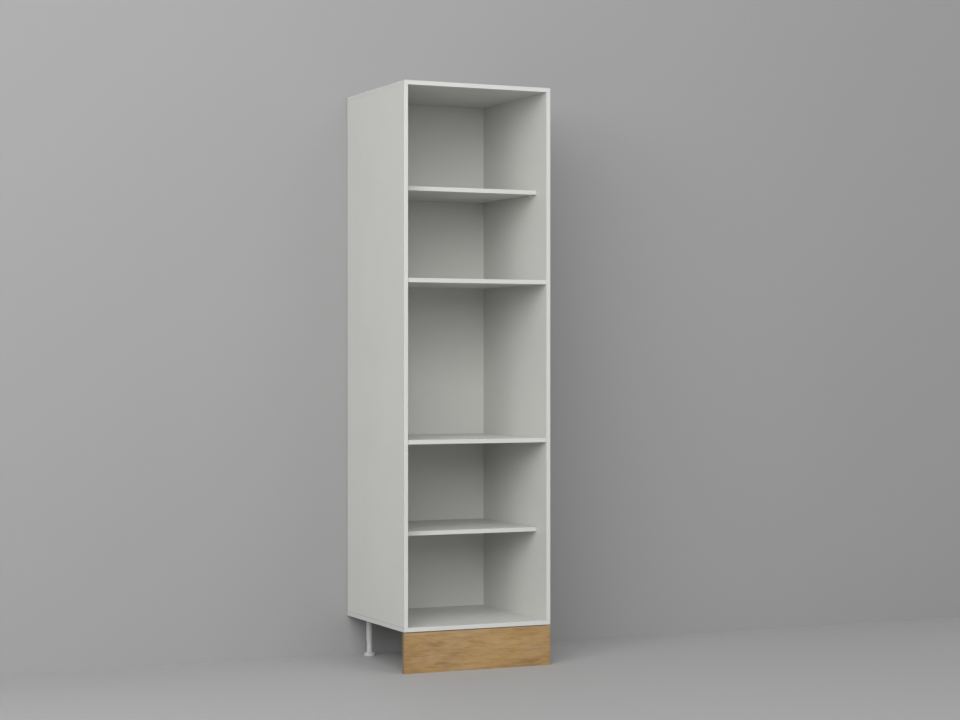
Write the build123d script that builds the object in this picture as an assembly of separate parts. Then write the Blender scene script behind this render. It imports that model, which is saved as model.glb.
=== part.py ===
from build123d import *
import os

# Pantry cabinet: a tall open carcass of faced board on four levelling legs, with a clip-on plinth.
# Millimetres. X runs to the right seen from the front, the front faces -Y, Z is up.
# The origin lies on the floor, below the middle of the carcass.

# ---- carcass
WIDTH = 600.0  # outside, over both side panels
DEPTH = 586.0  # front edge bands to the rear face
SIDE_HEIGHT = 2004.0  # side panels, between the bottom panel and the top panel
LEG_SPACE = 153.0  # floor to the underside of the bottom panel
BOARD = 16.0  # every panel and shelf
BAND = 1.0  # edge bands
BAND_ROUND = 0.8  # rounding along the outer edges of a band

# ---- back panel, let into a rabbet round the rear opening
BACK = 8.0
BACK_LAP = 9.0  # how far the rabbet reaches into each board
BACK_GAP = 0.5  # play of the back panel in its rabbet
BACK_SCREWS_UP = 6  # along each side panel
BACK_SCREWS_ACROSS = 3  # along each level board
BACK_SCREW_END = 60.0  # last screw from the end of its row
BACK_SCREW_LENGTH = 25.0
BACK_SCREW_R = 1.75
BACK_HEAD_R = 3.5
BACK_HEAD_HEIGHT = 2.2

# ---- shelves
LOWER_BAY = 676.0  # clear height below the lower fixed shelf
MIDDLE_BAY = 583.0  # clear height between the fixed shelves
LOWER_RISE = 332.0  # clear height below the lower adjustable shelf
UPPER_RISE = 330.0  # clear height below the upper adjustable shelf
FIXED_SETBACK = 3.0  # fixed shelves, behind the carcass front
LOOSE_SETBACK = 87.0  # adjustable shelves, behind the carcass front
LOOSE_SIDE_GAP = 1.0
LOOSE_REAR_GAP = 2.0

# ---- shelf supports
SUPPORT_INSET = 50.0  # from the front and rear edges of the shelf
SUPPORT_WIDTH = 12.0
SUPPORT_DROP = 12.0
SUPPORT_REACH = 9.0
SUPPORT_WALL = 2.0
SUPPORT_RIB = 2.0
PEG_R = 2.5
PEG_LENGTH = 9.0
PEG_GAP = 0.05
PEG_END_GAP = 1.0

# ---- dowels
DOWEL_R = 4.0
DOWEL_LENGTH = 30.0
DOWEL_IN_FACE = 11.0  # depth in the board whose face is drilled
DOWEL_GAP = 0.05
DOWEL_END_GAP = 1.0
DOWEL_INSET = 50.0  # first and last dowel of a row, from the ends of the joint
CORNER_DOWELS = 5
SHELF_DOWELS = 4

# ---- legs
LEG_FROM_SIDE = 67.0
LEG_FROM_FRONT = 70.0
LEG_FROM_REAR = 66.0
SOCKET_PLATE = 56.0
SOCKET_PLATE_THICK = 4.0
SOCKET_CORNER = 6.0
SOCKET_SCREW_SPACING = 42.0
SPIGOT_LENGTH = 28.0
SPIGOT_GAP = 0.05
TUBE_R = 12.0
TUBE_BORE_R = 9.0
TUBE_FOOT = 58.0  # lower end of the leg tube above the floor
THREAD_R = 7.0
THREAD_GAP = 0.05
THREAD_ENGAGED = 15.0  # thread still held by the tube at full height
LEVELLING_TRAVEL = 20.0
NUT_LENGTH = 40.0  # threaded stretch of the tube
SHANK_R = 10.5
COLLAR_R = 12.0  # spanner hexagon, over its corners
COLLAR_HEIGHT = 5.0
PAD_R = 22.0
PAD_TOP_R = 14.0
PAD_HEIGHT = 13.0
PAD_RIM = 9.0
STUB_R = 6.0
STUB_LENGTH = 7.0
STUB_GAP = 0.05
STUB_END_GAP = 0.2

# ---- plinth and the clips that hold it to the front legs
PLINTH_HEIGHT = 150.0
PLINTH_BOARD = 16.0
BRACKET_WIDTH = 60.0
BRACKET_EAR = 3.0
BRACKET_HEIGHT = 24.0
BRACKET_BASE = 83.0  # its lower edge above the floor
BRACKET_SCREW_SPACING = 44.0
CHANNEL_WIDTH = 28.0
CHANNEL_DEPTH = 9.0
CHANNEL_FLOOR = 2.0
CHANNEL_BACK = 2.0
TEE_WIDTH = 20.0
TEE_THICK = 3.0
TEE_GAP = 0.2
STEM_WIDTH = 8.0
JAW_GAP = 0.3
JAW_WALL = 2.5
JAW_ARM = 6.0  # how far the jaw's arms run past the leg's axis
JAW_HEIGHT = 20.0

# ---- wall brackets on the top panel
WALL_BRACKET_FROM_SIDE = 100.0
WALL_BRACKET_WIDTH = 40.0
WALL_BRACKET_FOOT = 40.0
WALL_BRACKET_RISE = 30.0
WALL_BRACKET_SHEET = 2.0
WALL_BRACKET_BEND = 1.5  # inside radius of the fold
WALL_HOLE_R = 3.5
WALL_HOLE_RISE = 18.0
WALL_SCREW_SPACING = 22.0
WALL_SCREW_FROM_REAR = 26.0

# ---- pan-head screws of the leg sockets, plinth brackets and wall brackets
SCREW_R = 2.0
SCREW_HEAD_R = 3.8
SCREW_HEAD_HEIGHT = 2.2
SCREW_HEAD_ROUND = 1.0
SCREW_GRIP = 10.0  # depth in the board
SCREW_GAP = 0.05  # round a screw's thread in its board
SCREW_HOLE_GAP = 0.3  # round a screw in the piece it holds

# ---- places worked out from the sizes
X_OUT = WIDTH / 2
X_IN = X_OUT - BOARD
Y_FRONT = -DEPTH / 2
Y_REAR = DEPTH / 2
Y_BACK = Y_REAR - BACK  # front face of the back panel
Z_BASE = LEG_SPACE  # underside of the bottom panel
Z_DECK = Z_BASE + BOARD  # top of the bottom panel
Z_CEILING = Z_DECK + SIDE_HEIGHT  # underside of the top panel
Z_TOP = Z_CEILING + BOARD
Z_LOWER_FIXED = Z_DECK + LOWER_BAY
Z_UPPER_FIXED = Z_LOWER_FIXED + BOARD + MIDDLE_BAY
Z_LOWER_LOOSE = Z_DECK + LOWER_RISE
Z_UPPER_LOOSE = Z_UPPER_FIXED + BOARD + UPPER_RISE
Y_FIXED = Y_FRONT + FIXED_SETBACK  # front of the fixed shelves, band included
Y_LOOSE = Y_FRONT + LOOSE_SETBACK
Y_LOOSE_REAR = Y_BACK - LOOSE_REAR_GAP
X_LOOSE = X_IN - LOOSE_SIDE_GAP
Z_SOCKET = Z_BASE - SOCKET_PLATE_THICK
X_LEG = X_OUT - LEG_FROM_SIDE
Y_FRONT_LEG = Y_FRONT + LEG_FROM_FRONT
Y_REAR_LEG = Y_REAR - LEG_FROM_REAR
Y_PLINTH_BACK = Y_FRONT + PLINTH_BOARD
X_WALL_BRACKET = X_OUT - WALL_BRACKET_FROM_SIDE

SIDES = {"left": -1, "right": 1}
LEGS = {
    f"{end}_{side}": (sign * X_LEG, y)
    for end, y in (("front", Y_FRONT_LEG), ("rear", Y_REAR_LEG))
    for side, sign in SIDES.items()
}
UP = (0, 0, 1)
DOWN = (0, 0, -1)
FORWARD = (0, -1, 0)
STAND = (Align.CENTER, Align.CENTER, Align.MIN)


# ---- building helpers
def block(x, y, z):
    """Box between a low and a high value along each axis."""
    spans = [sorted(pair) for pair in (x, y, z)]
    size = [high - low for low, high in spans]
    centre = [(high + low) / 2 for low, high in spans]
    return Pos(*centre) * Box(*size)


def rod(point, direction, radius, length):
    """Cylinder that starts at a point and runs in a direction."""
    return Plane(origin=point, z_dir=direction) * Cylinder(radius, length, align=STAND)


def taper(point, direction, start_r, end_r, length):
    """Cone that starts at a point and runs in a direction."""
    return Plane(origin=point, z_dir=direction) * Cone(start_r, end_r, length, align=STAND)


def spaced(low, high, count):
    """Evenly spaced values with one at each end."""
    if count < 2:
        return [(low + high) / 2]
    step = (high - low) / (count - 1)
    return [low + step * i for i in range(count)]


def band(x, y, z, outward, along):
    """Edge band whose long outer edges are rounded; outward is its facing direction."""
    strip = block(x, y, z)
    facing = Axis((0, 0, 0), outward)
    outer = strip.edges().filter_by(along).group_by(facing)[-1]
    return fillet(outer, min(BAND_ROUND, 0.9 * BAND))


def pan_screw(point, direction, held):
    """Pan-head screw; point is the seat of its head and held the thickness under the head."""
    back = tuple(-c for c in direction)
    head = rod(point, back, SCREW_HEAD_R, SCREW_HEAD_HEIGHT)
    crown = head.edges().filter_by(GeomType.CIRCLE).sort_by(Axis(point, back))[-1]
    head = fillet(crown, min(SCREW_HEAD_ROUND, 0.8 * SCREW_HEAD_HEIGHT))
    return head + rod(point, direction, SCREW_R, held + SCREW_GRIP)


def screw_hole(point, direction, held):
    """Clearance hole in the held piece and the thread's own hole in the board behind it."""
    wide = rod(point, direction, SCREW_R + SCREW_HOLE_GAP, held)
    return wide + rod(point, direction, SCREW_R + SCREW_GAP, held + SCREW_GRIP)


# ---- dowels
def corner_dowels(sign, at_top):
    """Points and direction of the dowels that hold one end of a side panel."""
    x = sign * (X_OUT - BOARD / 2)
    z = Z_CEILING if at_top else Z_DECK
    rows = spaced(Y_FRONT + DOWEL_INSET, Y_REAR - DOWEL_INSET, CORNER_DOWELS)
    return [((x, y, z), UP if at_top else DOWN) for y in rows]


def shelf_dowels(sign, z_shelf):
    """Points and direction of the dowels at one end of a fixed shelf."""
    z = z_shelf + BOARD / 2
    rows = spaced(Y_FIXED + DOWEL_INSET, Y_BACK - DOWEL_INSET, SHELF_DOWELS)
    return [((sign * X_IN, y, z), (sign, 0, 0)) for y in rows]


def dowel(place, grow=0.0, extend=0.0):
    """One dowel; with grow and extend it is the hole that the dowel is glued into."""
    point, direction = place
    in_edge = DOWEL_LENGTH - DOWEL_IN_FACE + extend
    start = tuple(p - d * in_edge for p, d in zip(point, direction))
    return rod(start, direction, DOWEL_R + grow, DOWEL_LENGTH + 2 * extend)


def dowel_holes(places):
    return [dowel(place, DOWEL_GAP, DOWEL_END_GAP) for place in places]


def side_dowels(sign):
    """Every dowel that enters one side panel."""
    places = corner_dowels(sign, True) + corner_dowels(sign, False)
    return places + shelf_dowels(sign, Z_LOWER_FIXED) + shelf_dowels(sign, Z_UPPER_FIXED)


# ---- back panel screws
def back_screw_points():
    """Head centres on the rear face, above the middle of the board that each screw enters."""
    up = spaced(Z_DECK + BACK_SCREW_END, Z_CEILING - BACK_SCREW_END, BACK_SCREWS_UP)
    across = spaced(-X_IN + BACK_SCREW_END, X_IN - BACK_SCREW_END, BACK_SCREWS_ACROSS)
    levels = (
        Z_DECK - BACK_LAP / 2,
        Z_LOWER_FIXED + BOARD / 2,
        Z_UPPER_FIXED + BOARD / 2,
        Z_CEILING + BACK_LAP / 2,
    )
    points = [(sign * (X_IN + BACK_LAP / 2), Y_REAR, z) for sign in SIDES.values() for z in up]
    return points + [(x, Y_REAR, z) for z in levels for x in across]


def back_screw(point, grow=0.0):
    """One countersunk screw; with grow it is the screw's hole."""
    head = taper(point, FORWARD, BACK_HEAD_R + grow, BACK_SCREW_R + grow, BACK_HEAD_HEIGHT)
    return head + rod(point, FORWARD, BACK_SCREW_R + grow, BACK_SCREW_LENGTH)


# ---- carcass
def rabbet():
    """Space that the back panel is let into, round the rear opening."""
    x = X_IN + BACK_LAP
    return block((-x, x), (Y_BACK, Y_REAR), (Z_DECK - BACK_LAP, Z_CEILING + BACK_LAP))


def support_places(z_shelf):
    """Where the four supports of an adjustable shelf meet the side panels."""
    rows = (Y_LOOSE + SUPPORT_INSET, Y_LOOSE_REAR - SUPPORT_INSET)
    return [(sign, y, z_shelf) for sign in SIDES.values() for y in rows]


def peg(place, grow=0.0, extend=0.0):
    """Peg of a shelf support, from the side panel's inner face into its hole."""
    sign, y, z = place
    point = (sign * X_IN, y, z - SUPPORT_DROP / 2)
    return rod(point, (sign, 0, 0), PEG_R + grow, PEG_LENGTH + extend)


def side_panel(sign, screws):
    panel = block((sign * X_IN, sign * X_OUT), (Y_FRONT + BAND, Y_REAR), (Z_DECK, Z_CEILING))
    pegs = [p for z in (Z_LOWER_LOOSE, Z_UPPER_LOOSE) for p in support_places(z) if p[0] == sign]
    holes = dowel_holes(side_dowels(sign)) + [peg(p, PEG_GAP, PEG_END_GAP) for p in pegs]
    return panel - rabbet() - (holes + screws)


def end_panel(z, at_top, screws):
    """Top or bottom panel, which runs over the side panels' ends."""
    panel = block((-X_OUT + BAND, X_OUT - BAND), (Y_FRONT + BAND, Y_REAR), (z, z + BOARD))
    places = corner_dowels(-1, at_top) + corner_dowels(1, at_top)
    return panel - rabbet() - (dowel_holes(places) + screws)


def fixed_shelf(z, screws):
    shelf = block((-X_IN, X_IN), (Y_FIXED + BAND, Y_BACK), (z, z + BOARD))
    return shelf - (dowel_holes(shelf_dowels(-1, z) + shelf_dowels(1, z)) + screws)


def loose_shelf(z):
    return block((-X_LOOSE, X_LOOSE), (Y_LOOSE + BAND, Y_LOOSE_REAR), (z, z + BOARD))


def front_band(x, y, z, along):
    """Band on a front edge; y is the front face of the band."""
    return band(x, (y, y + BAND), z, FORWARD, along)


def end_panel_bands(z):
    """Front band over the full width, and a band on each end behind it."""
    front = front_band((-X_OUT, X_OUT), Y_FRONT, (z, z + BOARD), Axis.X)
    ends = [
        band((s * (X_OUT - BAND), s * X_OUT), (Y_FRONT + BAND, Y_REAR), (z, z + BOARD), (s, 0, 0), Axis.Y)
        for s in SIDES.values()
    ]
    return [front] + ends


def shelf_support(place):
    """Peg, wall plate and ledge of a plug-in shelf support, with a rib below the ledge."""
    sign, y, z = place
    wall = sign * X_IN
    face = sign * (X_IN - SUPPORT_WALL)
    tip = sign * (X_IN - SUPPORT_REACH)
    wide = (y - SUPPORT_WIDTH / 2, y + SUPPORT_WIDTH / 2)
    plate = block((wall, face), wide, (z - SUPPORT_DROP, z))
    ledge = block((wall, tip), wide, (z - SUPPORT_WALL, z))
    corners = [(face, z - SUPPORT_WALL), (tip, z - SUPPORT_WALL), (face, z - SUPPORT_DROP)]
    outline = Plane.XZ.offset(-y - SUPPORT_RIB / 2) * make_face(Polyline(*corners, close=True))
    rib = extrude(outline, SUPPORT_RIB)
    return plate + ledge + rib + peg(place)


def carcass():
    """Panels, fixed shelves, back panel and the fasteners between them."""
    points = back_screw_points()
    holes = [back_screw(p, SCREW_GAP) for p in points]
    nodes = {
        "top_panel": end_panel(Z_CEILING, True, holes),
        "bottom_panel": end_panel(Z_BASE, False, holes),
        "lower_fixed_shelf": fixed_shelf(Z_LOWER_FIXED, holes),
        "upper_fixed_shelf": fixed_shelf(Z_UPPER_FIXED, holes),
    }
    x = X_IN + BACK_LAP - BACK_GAP
    z = (Z_DECK - BACK_LAP + BACK_GAP, Z_CEILING + BACK_LAP - BACK_GAP)
    nodes["back_panel"] = block((-x, x), (Y_BACK, Y_REAR), z) - holes
    for side, sign in SIDES.items():
        nodes[f"{side}_side_panel"] = side_panel(sign, holes)
    places = side_dowels(-1) + side_dowels(1)
    nodes["carcass_dowels"] = [dowel(place) for place in places]
    nodes["back_panel_screws"] = [back_screw(p) for p in points]
    return nodes


def edge_bands():
    """Edge bands of the carcass and of its fixed shelves."""
    nodes = {
        "top_panel_edge_bands": end_panel_bands(Z_CEILING),
        "bottom_panel_edge_bands": end_panel_bands(Z_BASE),
    }
    for side, sign in SIDES.items():
        x = (sign * X_IN, sign * X_OUT)
        nodes[f"{side}_side_edge_band"] = front_band(x, Y_FRONT, (Z_DECK, Z_CEILING), Axis.Z)
    for name, z in (("lower", Z_LOWER_FIXED), ("upper", Z_UPPER_FIXED)):
        nodes[f"{name}_fixed_shelf_edge_band"] = front_band((-X_IN, X_IN), Y_FIXED, (z, z + BOARD), Axis.X)
    return nodes


def adjustable_shelves():
    """Loose shelves with their edge bands, and the supports that they lie on."""
    nodes = {}
    for name, z in (("lower", Z_LOWER_LOOSE), ("upper", Z_UPPER_LOOSE)):
        nodes[f"{name}_adjustable_shelf"] = loose_shelf(z)
        edge = front_band((-X_LOOSE, X_LOOSE), Y_LOOSE, (z, z + BOARD), Axis.X)
        nodes[f"{name}_adjustable_shelf_edge_band"] = edge
        nodes[f"{name}_shelf_supports"] = [shelf_support(place) for place in support_places(z)]
    return nodes


# ---- legs
def socket_screw_points(x, y):
    half = SOCKET_SCREW_SPACING / 2
    return [(x + i * half, y + j * half, Z_SOCKET) for i in (-1, 1) for j in (-1, 1)]


def leg_socket(x, y):
    """Plate under the bottom panel with the spigot that the leg tube is pushed onto."""
    plate = Pos(x, y, Z_SOCKET) * Box(SOCKET_PLATE, SOCKET_PLATE, SOCKET_PLATE_THICK, align=STAND)
    plate = fillet(plate.edges().filter_by(Axis.Z), SOCKET_CORNER)
    spigot = rod((x, y, Z_SOCKET), DOWN, TUBE_BORE_R - SPIGOT_GAP, SPIGOT_LENGTH)
    return plate + spigot - [screw_hole(p, UP, SOCKET_PLATE_THICK) for p in socket_screw_points(x, y)]


def leg_tube(x, y):
    """Round leg with a threaded lower bore and a plain upper bore for the spigot."""
    tube = rod((x, y, TUBE_FOOT), UP, TUBE_R, Z_SOCKET - TUBE_FOOT)
    nut = rod((x, y, TUBE_FOOT), UP, THREAD_R + THREAD_GAP, NUT_LENGTH)
    bore = rod((x, y, TUBE_FOOT + NUT_LENGTH), UP, TUBE_BORE_R, Z_SOCKET - TUBE_FOOT - NUT_LENGTH)
    return tube - nut - bore


def levelling_screw(x, y):
    """Threaded stem, thicker shank, spanner hexagon and the stub that turns in the foot pad."""
    stub = rod((x, y, PAD_HEIGHT), DOWN, STUB_R, STUB_LENGTH - STUB_END_GAP)
    collar = Pos(x, y, PAD_HEIGHT) * extrude(RegularPolygon(COLLAR_R, 6), COLLAR_HEIGHT)
    top = PAD_HEIGHT + COLLAR_HEIGHT
    shank = rod((x, y, top), UP, SHANK_R, TUBE_FOOT - top)
    thread = rod((x, y, TUBE_FOOT), UP, THREAD_R, LEVELLING_TRAVEL + THREAD_ENGAGED)
    return stub + collar + shank + thread


def foot_pad(x, y):
    """Round pad on the floor, with a straight rim, a sloping top and a socket for the stub."""
    rim = rod((x, y, 0), UP, PAD_R, PAD_RIM)
    slope = taper((x, y, PAD_RIM), UP, PAD_R, PAD_TOP_R, PAD_HEIGHT - PAD_RIM)
    return rim + slope - rod((x, y, PAD_HEIGHT), DOWN, STUB_R + STUB_GAP, STUB_LENGTH)


def legs():
    nodes = {}
    screws = []
    for name, (x, y) in LEGS.items():
        nodes[f"{name}_leg_socket"] = leg_socket(x, y)
        nodes[f"{name}_leg_tube"] = leg_tube(x, y)
        nodes[f"{name}_levelling_screw"] = levelling_screw(x, y)
        nodes[f"{name}_foot_pad"] = foot_pad(x, y)
        screws += [pan_screw(p, UP, SOCKET_PLATE_THICK) for p in socket_screw_points(x, y)]
    nodes["leg_socket_screws"] = screws
    return nodes


# ---- plinth
def bracket_screw_points(x):
    y = Y_PLINTH_BACK + BRACKET_EAR
    z = BRACKET_BASE + BRACKET_HEIGHT / 2
    return [(x + i * BRACKET_SCREW_SPACING / 2, y, z) for i in (-1, 1)]


def tee(x, z, grow=0.0):
    """Foot and stem of a plinth clip across its channel; with grow it is the channel's slot."""
    y = Y_PLINTH_BACK + CHANNEL_BACK + TEE_GAP
    foot_half = TEE_WIDTH / 2 + grow
    stem_half = STEM_WIDTH / 2 + grow
    foot = block((x - foot_half, x + foot_half), (y - grow, y + TEE_THICK + grow), z)
    stem = block((x - stem_half, x + stem_half), (y, Y_PLINTH_BACK + CHANNEL_DEPTH), z)
    return foot + stem


def plinth_bracket(x):
    """Plate on the back of the plinth with the upright channel that takes a clip."""
    z = (BRACKET_BASE, BRACKET_BASE + BRACKET_HEIGHT)
    ears = (x - BRACKET_WIDTH / 2, x + BRACKET_WIDTH / 2)
    plate = block(ears, (Y_PLINTH_BACK, Y_PLINTH_BACK + BRACKET_EAR), z)
    wide = (x - CHANNEL_WIDTH / 2, x + CHANNEL_WIDTH / 2)
    channel = block(wide, (Y_PLINTH_BACK, Y_PLINTH_BACK + CHANNEL_DEPTH), z)
    slot = tee(x, (BRACKET_BASE + CHANNEL_FLOOR, z[1]), TEE_GAP)
    return plate + channel - slot - [screw_hole(p, FORWARD, BRACKET_EAR) for p in bracket_screw_points(x)]


def plinth_clip(x):
    """Clip whose tee stands in the channel and whose open jaw goes round a front leg."""
    base = BRACKET_BASE + CHANNEL_FLOOR
    inner = TUBE_R + JAW_GAP
    outer = inner + JAW_WALL
    tall = (base, base + JAW_HEIGHT)
    jaw = rod((x, Y_FRONT_LEG, base), UP, outer, JAW_HEIGHT)
    jaw += block((x - outer, x + outer), (Y_FRONT_LEG, Y_FRONT_LEG + JAW_ARM), tall)
    stem_half = STEM_WIDTH / 2
    stem = (Y_PLINTH_BACK + CHANNEL_DEPTH, Y_FRONT_LEG)
    jaw += block((x - stem_half, x + stem_half), stem, tall)
    jaw -= rod((x, Y_FRONT_LEG, base), UP, inner, JAW_HEIGHT)
    jaw -= block((x - inner, x + inner), (Y_FRONT_LEG, Y_FRONT_LEG + outer), tall)
    return jaw + tee(x, (base, BRACKET_BASE + BRACKET_HEIGHT))


def plinth():
    """Plinth board with its end bands, and a bracket and clip for each front leg."""
    tall = (0, PLINTH_HEIGHT)
    deep = (Y_FRONT, Y_PLINTH_BACK)
    points = [p for sign in SIDES.values() for p in bracket_screw_points(sign * X_LEG)]
    board = block((-X_OUT + BAND, X_OUT - BAND), deep, tall)
    nodes = {
        "plinth_board": board - [screw_hole(p, FORWARD, BRACKET_EAR) for p in points],
        "plinth_bracket_screws": [pan_screw(p, FORWARD, BRACKET_EAR) for p in points],
    }
    for side, sign in SIDES.items():
        ends = (sign * (X_OUT - BAND), sign * X_OUT)
        nodes[f"{side}_plinth_edge_band"] = band(ends, deep, tall, (sign, 0, 0), Axis.Z)
        nodes[f"{side}_plinth_bracket"] = plinth_bracket(sign * X_LEG)
        nodes[f"{side}_plinth_clip"] = plinth_clip(sign * X_LEG)
    return nodes


# ---- wall brackets
def wall_screw_points(x):
    z = Z_TOP + WALL_BRACKET_SHEET
    return [(x + i * WALL_SCREW_SPACING / 2, Y_REAR - WALL_SCREW_FROM_REAR, z) for i in (-1, 1)]


def wall_bracket(x):
    """Folded steel angle on the top panel, flush with the rear, with one hole for a wall screw."""
    wide = (x - WALL_BRACKET_WIDTH / 2, x + WALL_BRACKET_WIDTH / 2)
    foot = block(wide, (Y_REAR - WALL_BRACKET_FOOT, Y_REAR), (Z_TOP, Z_TOP + WALL_BRACKET_SHEET))
    rise = block(wide, (Y_REAR - WALL_BRACKET_SHEET, Y_REAR), (Z_TOP, Z_TOP + WALL_BRACKET_RISE))
    angle = foot + rise
    outside = ((x, Y_REAR, Z_TOP), WALL_BRACKET_BEND + WALL_BRACKET_SHEET)
    inside = ((x, Y_REAR - WALL_BRACKET_SHEET, Z_TOP + WALL_BRACKET_SHEET), WALL_BRACKET_BEND)
    for corner, radius in (outside, inside):
        edge = angle.edges().filter_by(Axis.X).sort_by_distance(corner)[0]
        angle = fillet(edge, radius)
    wall_hole = rod((x, Y_REAR, Z_TOP + WALL_HOLE_RISE), FORWARD, WALL_HOLE_R, WALL_BRACKET_SHEET)
    return angle - [wall_hole] - [screw_hole(p, DOWN, WALL_BRACKET_SHEET) for p in wall_screw_points(x)]


def wall_fixing(nodes):
    """Both wall brackets and their screws, whose holes are drilled in the top panel."""
    points = [p for sign in SIDES.values() for p in wall_screw_points(sign * X_WALL_BRACKET)]
    for side, sign in SIDES.items():
        nodes[f"{side}_wall_bracket"] = wall_bracket(sign * X_WALL_BRACKET)
    nodes["wall_bracket_screws"] = [pan_screw(p, DOWN, WALL_BRACKET_SHEET) for p in points]
    nodes["top_panel"] -= [screw_hole(p, DOWN, WALL_BRACKET_SHEET) for p in points]


def drill_for_sockets(nodes):
    """Screw holes of the leg sockets in the bottom panel."""
    points = [p for x, y in LEGS.values() for p in socket_screw_points(x, y)]
    nodes["bottom_panel"] -= [screw_hole(p, UP, SOCKET_PLATE_THICK) for p in points]


def main():
    os.makedirs("parts", exist_ok=True)
    nodes = carcass() | edge_bands() | adjustable_shelves() | legs() | plinth()
    wall_fixing(nodes)
    drill_for_sockets(nodes)
    for name, shape in nodes.items():
        whole = Compound(children=list(shape)) if isinstance(shape, list) else shape
        export_step(whole, f"parts/{name}.step")


main()
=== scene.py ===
"""Looks of a tall open pantry cabinet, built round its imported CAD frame.

A carcass of white faced board stands on four levelling legs, and an oak-effect plinth is clipped
to the two front legs. Boards and edge bands keep their CAD meshes and get their finishes here.
Screws, dowels, shelf supports, legs, clips and brackets are replaced by more detailed pieces.

Meshes are in metres, in the frame of the cabinet: X runs to the right seen from the front, the
front faces -Y, Z is up and the origin lies on the floor. Sizes of hardware are millimetres, as a
fitter knows them, and are turned into metres where a mesh is made.
"""

from __future__ import annotations

import functools
import logging
import math
from abc import ABC, abstractmethod
from collections.abc import Callable
from dataclasses import dataclass, field, fields
from enum import Enum
from types import SimpleNamespace
from typing import ClassVar

import bmesh
import bpy
from mathutils import Matrix, Vector

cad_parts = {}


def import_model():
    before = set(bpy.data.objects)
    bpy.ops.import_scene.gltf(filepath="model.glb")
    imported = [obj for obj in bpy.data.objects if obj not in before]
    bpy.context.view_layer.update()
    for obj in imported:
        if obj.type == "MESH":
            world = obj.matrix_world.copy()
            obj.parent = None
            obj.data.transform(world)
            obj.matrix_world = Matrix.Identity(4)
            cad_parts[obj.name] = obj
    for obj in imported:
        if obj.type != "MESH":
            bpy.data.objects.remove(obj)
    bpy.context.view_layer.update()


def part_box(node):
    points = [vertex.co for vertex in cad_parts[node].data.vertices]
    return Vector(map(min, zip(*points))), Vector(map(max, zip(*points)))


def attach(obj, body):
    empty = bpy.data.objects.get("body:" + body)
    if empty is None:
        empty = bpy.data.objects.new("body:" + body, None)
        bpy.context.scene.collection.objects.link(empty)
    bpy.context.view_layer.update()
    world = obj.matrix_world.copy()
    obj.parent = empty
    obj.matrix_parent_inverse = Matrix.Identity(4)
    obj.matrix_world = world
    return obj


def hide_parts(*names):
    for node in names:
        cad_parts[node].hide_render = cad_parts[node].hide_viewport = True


LOG = logging.getLogger("pantry_cabinet")
MM = 0.001
SEED = 7  # of the turns that repeated parts get by chance
NOISE_SPAN = (0.3, 0.7)  # what cloudy noise mostly lies between
UNIT_SPAN = (0.0, 1.0)
SMOOTH_BELOW = math.radians(35.0)  # angle between faces up to which an edge is smooth
FLAT_BELOW = math.radians(0.6)  # angle up to which a CAD node's triangles are one face
WELD = 0.002 * MM
SQUARE_ON = 0.8  # share of a normal along an axis from which a face looks along that axis
PRESSED_SKIN = 0.15 * MM  # depth that still counts as the pressed face
CORNER_STEPS = 4  # facets in a rounded corner
CORNER_REACH = 0.49  # share of a line's side that one rounded corner may take
ARRIS_STEPS = 2  # facets across a rounded arris
TURNED_STEPS = 64  # facets round a turned piece
THREAD_DEPTH = 0.8  # radius of a thread's three-sided section, as a share of the thread's depth
THREAD_WIDTH = 1.39  # width of that section as a share of the thread's depth
THREAD_FOOT = 0.45  # width of a thread's foot as a share of its pitch
UP = (0.0, 0.0, 1.0)
BOARD_WHITE = (0.578, 0.581, 0.562)

Point = tuple[float, float, float]
Pair = tuple[float, float]
Colour = tuple[float, float, float]
Socket = bpy.types.NodeSocket
Thing = bpy.types.Object


class Axis(Enum):
    """Axes of the cabinet, by their place in a point."""

    X = 0
    Y = 1
    Z = 2


class Side(Enum):
    """Sides of the cabinet seen from the front, with the sign of their X."""

    LEFT = -1
    RIGHT = 1

    @property
    def word(self) -> str:
        """The side's name as the CAD nodes spell it."""
        return self.name.lower()


class Kind(Enum):
    """Kinds of input that a part's tree has."""

    SHAPE = "NodeSocketGeometry"
    SIZE = "NodeSocketFloat"
    COUNT = "NodeSocketInt"
    PIECE = "NodeSocketObject"

    @classmethod
    def of(cls, value: object) -> Kind:
        """The kind of input that takes a value."""
        return {float: cls.SIZE, int: cls.COUNT}.get(type(value), cls.PIECE)


class Slot(Enum):
    """Material slots of the cabinet's record that the finishes of pieces made here are meant for."""

    DOWEL = "beech_dowel"
    SCREW = "zinc_plated_screw"
    SHEET = "zinc_plated_sheet"
    SUPPORT = "white_support_plastic"
    CLIP = "clip_plastic"
    LEG = "leg_plastic"


class Mixed(Enum):
    """Things that can be mixed: their type, and the places of the mixing node's inputs and output."""

    NUMBERS = ("FLOAT", (0, 2, 3), 0)
    VECTORS = ("VECTOR", (0, 4, 5), 1)
    COLOURS = ("RGBA", (0, 6, 7), 2)


# ---------------------------------------------------------------- node trees


def operator(operation: str, swapped: bool = False) -> Callable[[Value, object], Value]:
    """Makes an operator for what node trees work out.

    Args:
        operation: Name of the operation, such as MULTIPLY.
        swapped: Whether the other term comes first.

    Returns:
        The operator.
    """

    def work(value: Value, other: object) -> Value:
        """Adds the operation to the value's tree."""
        terms = (other, value) if swapped else (value, other)
        return value.wiring.maths(operation, *terms)

    return work


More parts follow.
